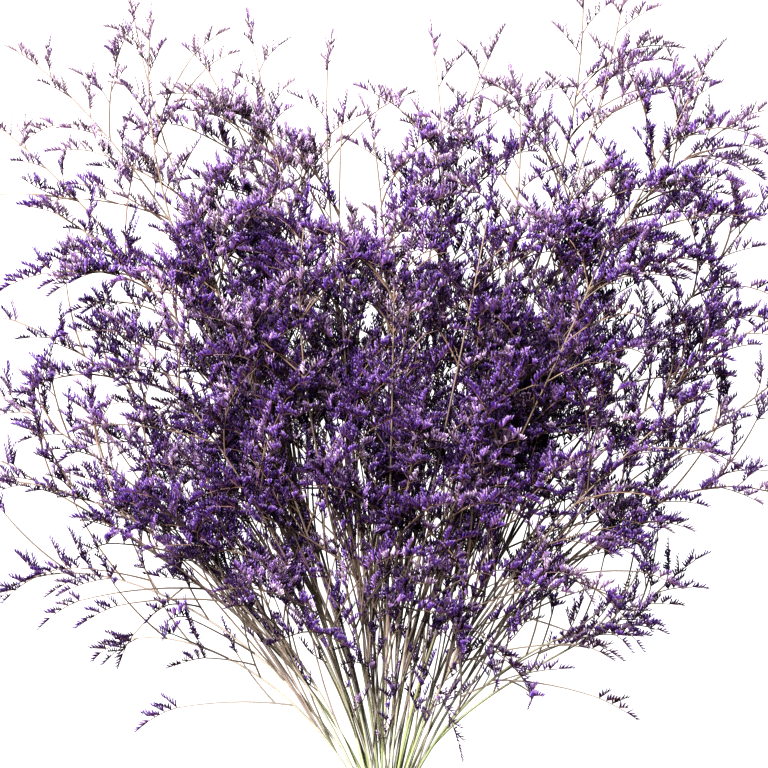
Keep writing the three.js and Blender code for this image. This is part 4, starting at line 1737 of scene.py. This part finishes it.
@dataclass
class ElasticBand:
    """The elastic band: one flat strand wound round the stems in close turns."""

    turns: float = 4.0
    strand_width: float = 2.3
    thickness: float = 1.35
    inner: Span = (18.4, 7.3)  # half the oval that the stems fill, across and up
    length: float = 10
    sway: float = 0.16  # how far a turn wanders along the stems
    swell: float = 0.04  # how far it swells and thins
    middle: float = Growth.band_middle
    y: float = Growth.band_y
    steps: int = 72  # to a turn
    # Round the strand: the share of its thickness out, and of its width along.
    profile: tuple[Span, ...] = (
        (0.0, -0.5), (0.0, 0.5), (0.55, 0.5), (0.92, 0.36), (1.0, 0.12), (1.0, -0.12),
        (0.92, -0.36), (0.55, -0.5),
    )

    def build(self) -> None:
        """Winds the strand and puts it in the place of the band's solid."""
        count, ring = round(self.turns * self.steps) + 1, len(self.profile)
        turn = np.linspace(0, self.turns, count)
        angle = 2 * np.pi * turn
        half = self.length / 2 - self.strand_width / 2
        along = self.y - half + 2 * half * smoothstep(turn, 0.15, self.turns - 0.15)
        along = along + self.sway * np.sin(angle * 0.5 + 1)
        out, across = np.array(self.profile).T * np.array([[self.thickness], [self.strand_width]])
        rise = self.swell * np.sin(5 * angle)
        width = self.inner[0] + out[None] + rise[:, None] * (out[None] > 0.1)
        height = self.inner[1] + out[None]
        x = width * np.sin(angle)[:, None]
        y = along[:, None] + across[None] * (1 + 0.05 * np.sin(3 * angle + 0.7))[:, None]
        z = self.middle - height * np.cos(angle)[:, None]
        points = np.stack([x, y, np.maximum(z, 0.0)], -1)
        last, faces = (count - 1) * ring, sleeve(count, ring)
        faces += [(0, j, j + 1) for j in range(1, ring - 1)]
        faces += [(last, last + j + 1, last + j) for j in range(1, ring - 1)]
        u = np.broadcast_to(np.arange(ring) / ring, x.shape)
        v = np.broadcast_to(turn[:, None] / self.turns, x.shape)
        mesh = PieceMesh()
        mesh.add(points, np.array(faces), np.stack([u, v], -1), Skin.WOOD, True)
        piece = mesh.object("elastic_band", [ElasticFinish().material()])
        piece.data.uv_layers[0].name = "Winding"
        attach(piece, "root")
        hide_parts("band")
        LOG.info("%s: %d triangles", piece.name, mesh.triangles())


# ---- Studio --------------------------------------------------------------------------------------


@dataclass
class Studio:
    """The table, the lights and the camera, which looks straight down on the bunch, in metres."""

    table_side: float = 8.0
    table_drop: float = 0.0002
    camera_at: tuple[float, float, float] = (0.0, 0.0616, 1.57)
    field: float = 0.6144  # across the picture at the height below
    field_height: float = 0.07
    sensor: float = 36.0  # millimetres
    key_at: tuple[float, float, float] = (-0.75, 0.95, 2.0)
    key_aim: tuple[float, float, float] = (0.0, 0.05, 0.05)
    key_size: float = 0.75
    key_power: float = 285.0
    fill_strength: float = 0.38
    contrast_gamma: float = 0.9

    def table(self) -> None:
        """A wide white sheet under the bunch."""
        half = self.table_side / 2
        mesh = bpy.data.meshes.new("table_top")
        corners = [(-half, -half, 0), (half, -half, 0), (half, half, 0), (-half, half, 0)]
        mesh.from_pydata(corners, [], [(0, 1, 2, 3)])
        mesh.materials.append(LightTableFinish().material())
        table = add_to_scene("table_top", mesh)
        table.location.z = -self.table_drop

    def lights(self) -> None:
        """One soft key light over the upper left, and an even pale surround."""
        light = bpy.data.lights.new("key_light", "AREA")
        light.energy = self.key_power
        light.size = self.key_size
        lamp = add_to_scene("key_light", light)
        lamp.location = self.key_at
        aim = Vector(self.key_aim) - lamp.location
        lamp.rotation_euler = aim.to_track_quat("-Z", "Y").to_euler()
        lamp.visible_camera = False
        world = bpy.data.worlds.new("pale_surround")
        world.use_nodes = True
        surround = {0: linear("#ffffff"), 1: self.fill_strength}
        feed(world.node_tree.nodes["Background"], surround)
        bpy.context.scene.world = world

    def camera(self) -> None:
        """The camera, straight above, with the far tips at the top of the picture."""
        data = bpy.data.cameras.new("overhead_camera")
        data.sensor_width = self.sensor
        data.lens = self.sensor * (self.camera_at[2] - self.field_height) / self.field
        camera = add_to_scene("overhead_camera", data)
        camera.location = self.camera_at
        bpy.context.scene.camera = camera

    def build(self) -> None:
        """Sets up the whole studio, with plain display colours."""
        self.camera()
        self.table()
        self.lights()
        settings = bpy.context.scene.view_settings
        settings.view_transform = "Standard"
        settings.look = "High Contrast"
        settings.gamma = self.contrast_gamma
        LOG.info("studio: table, key light, surround and camera")


def main() -> None:
    """Builds the studio, the bunch and its band."""
    logging.basicConfig(level=logging.INFO, format="%(name)s: %(message)s")
    Studio().build()
    Bunch().build()
    ElasticBand().build()


if __name__ == "__main__":
    main()
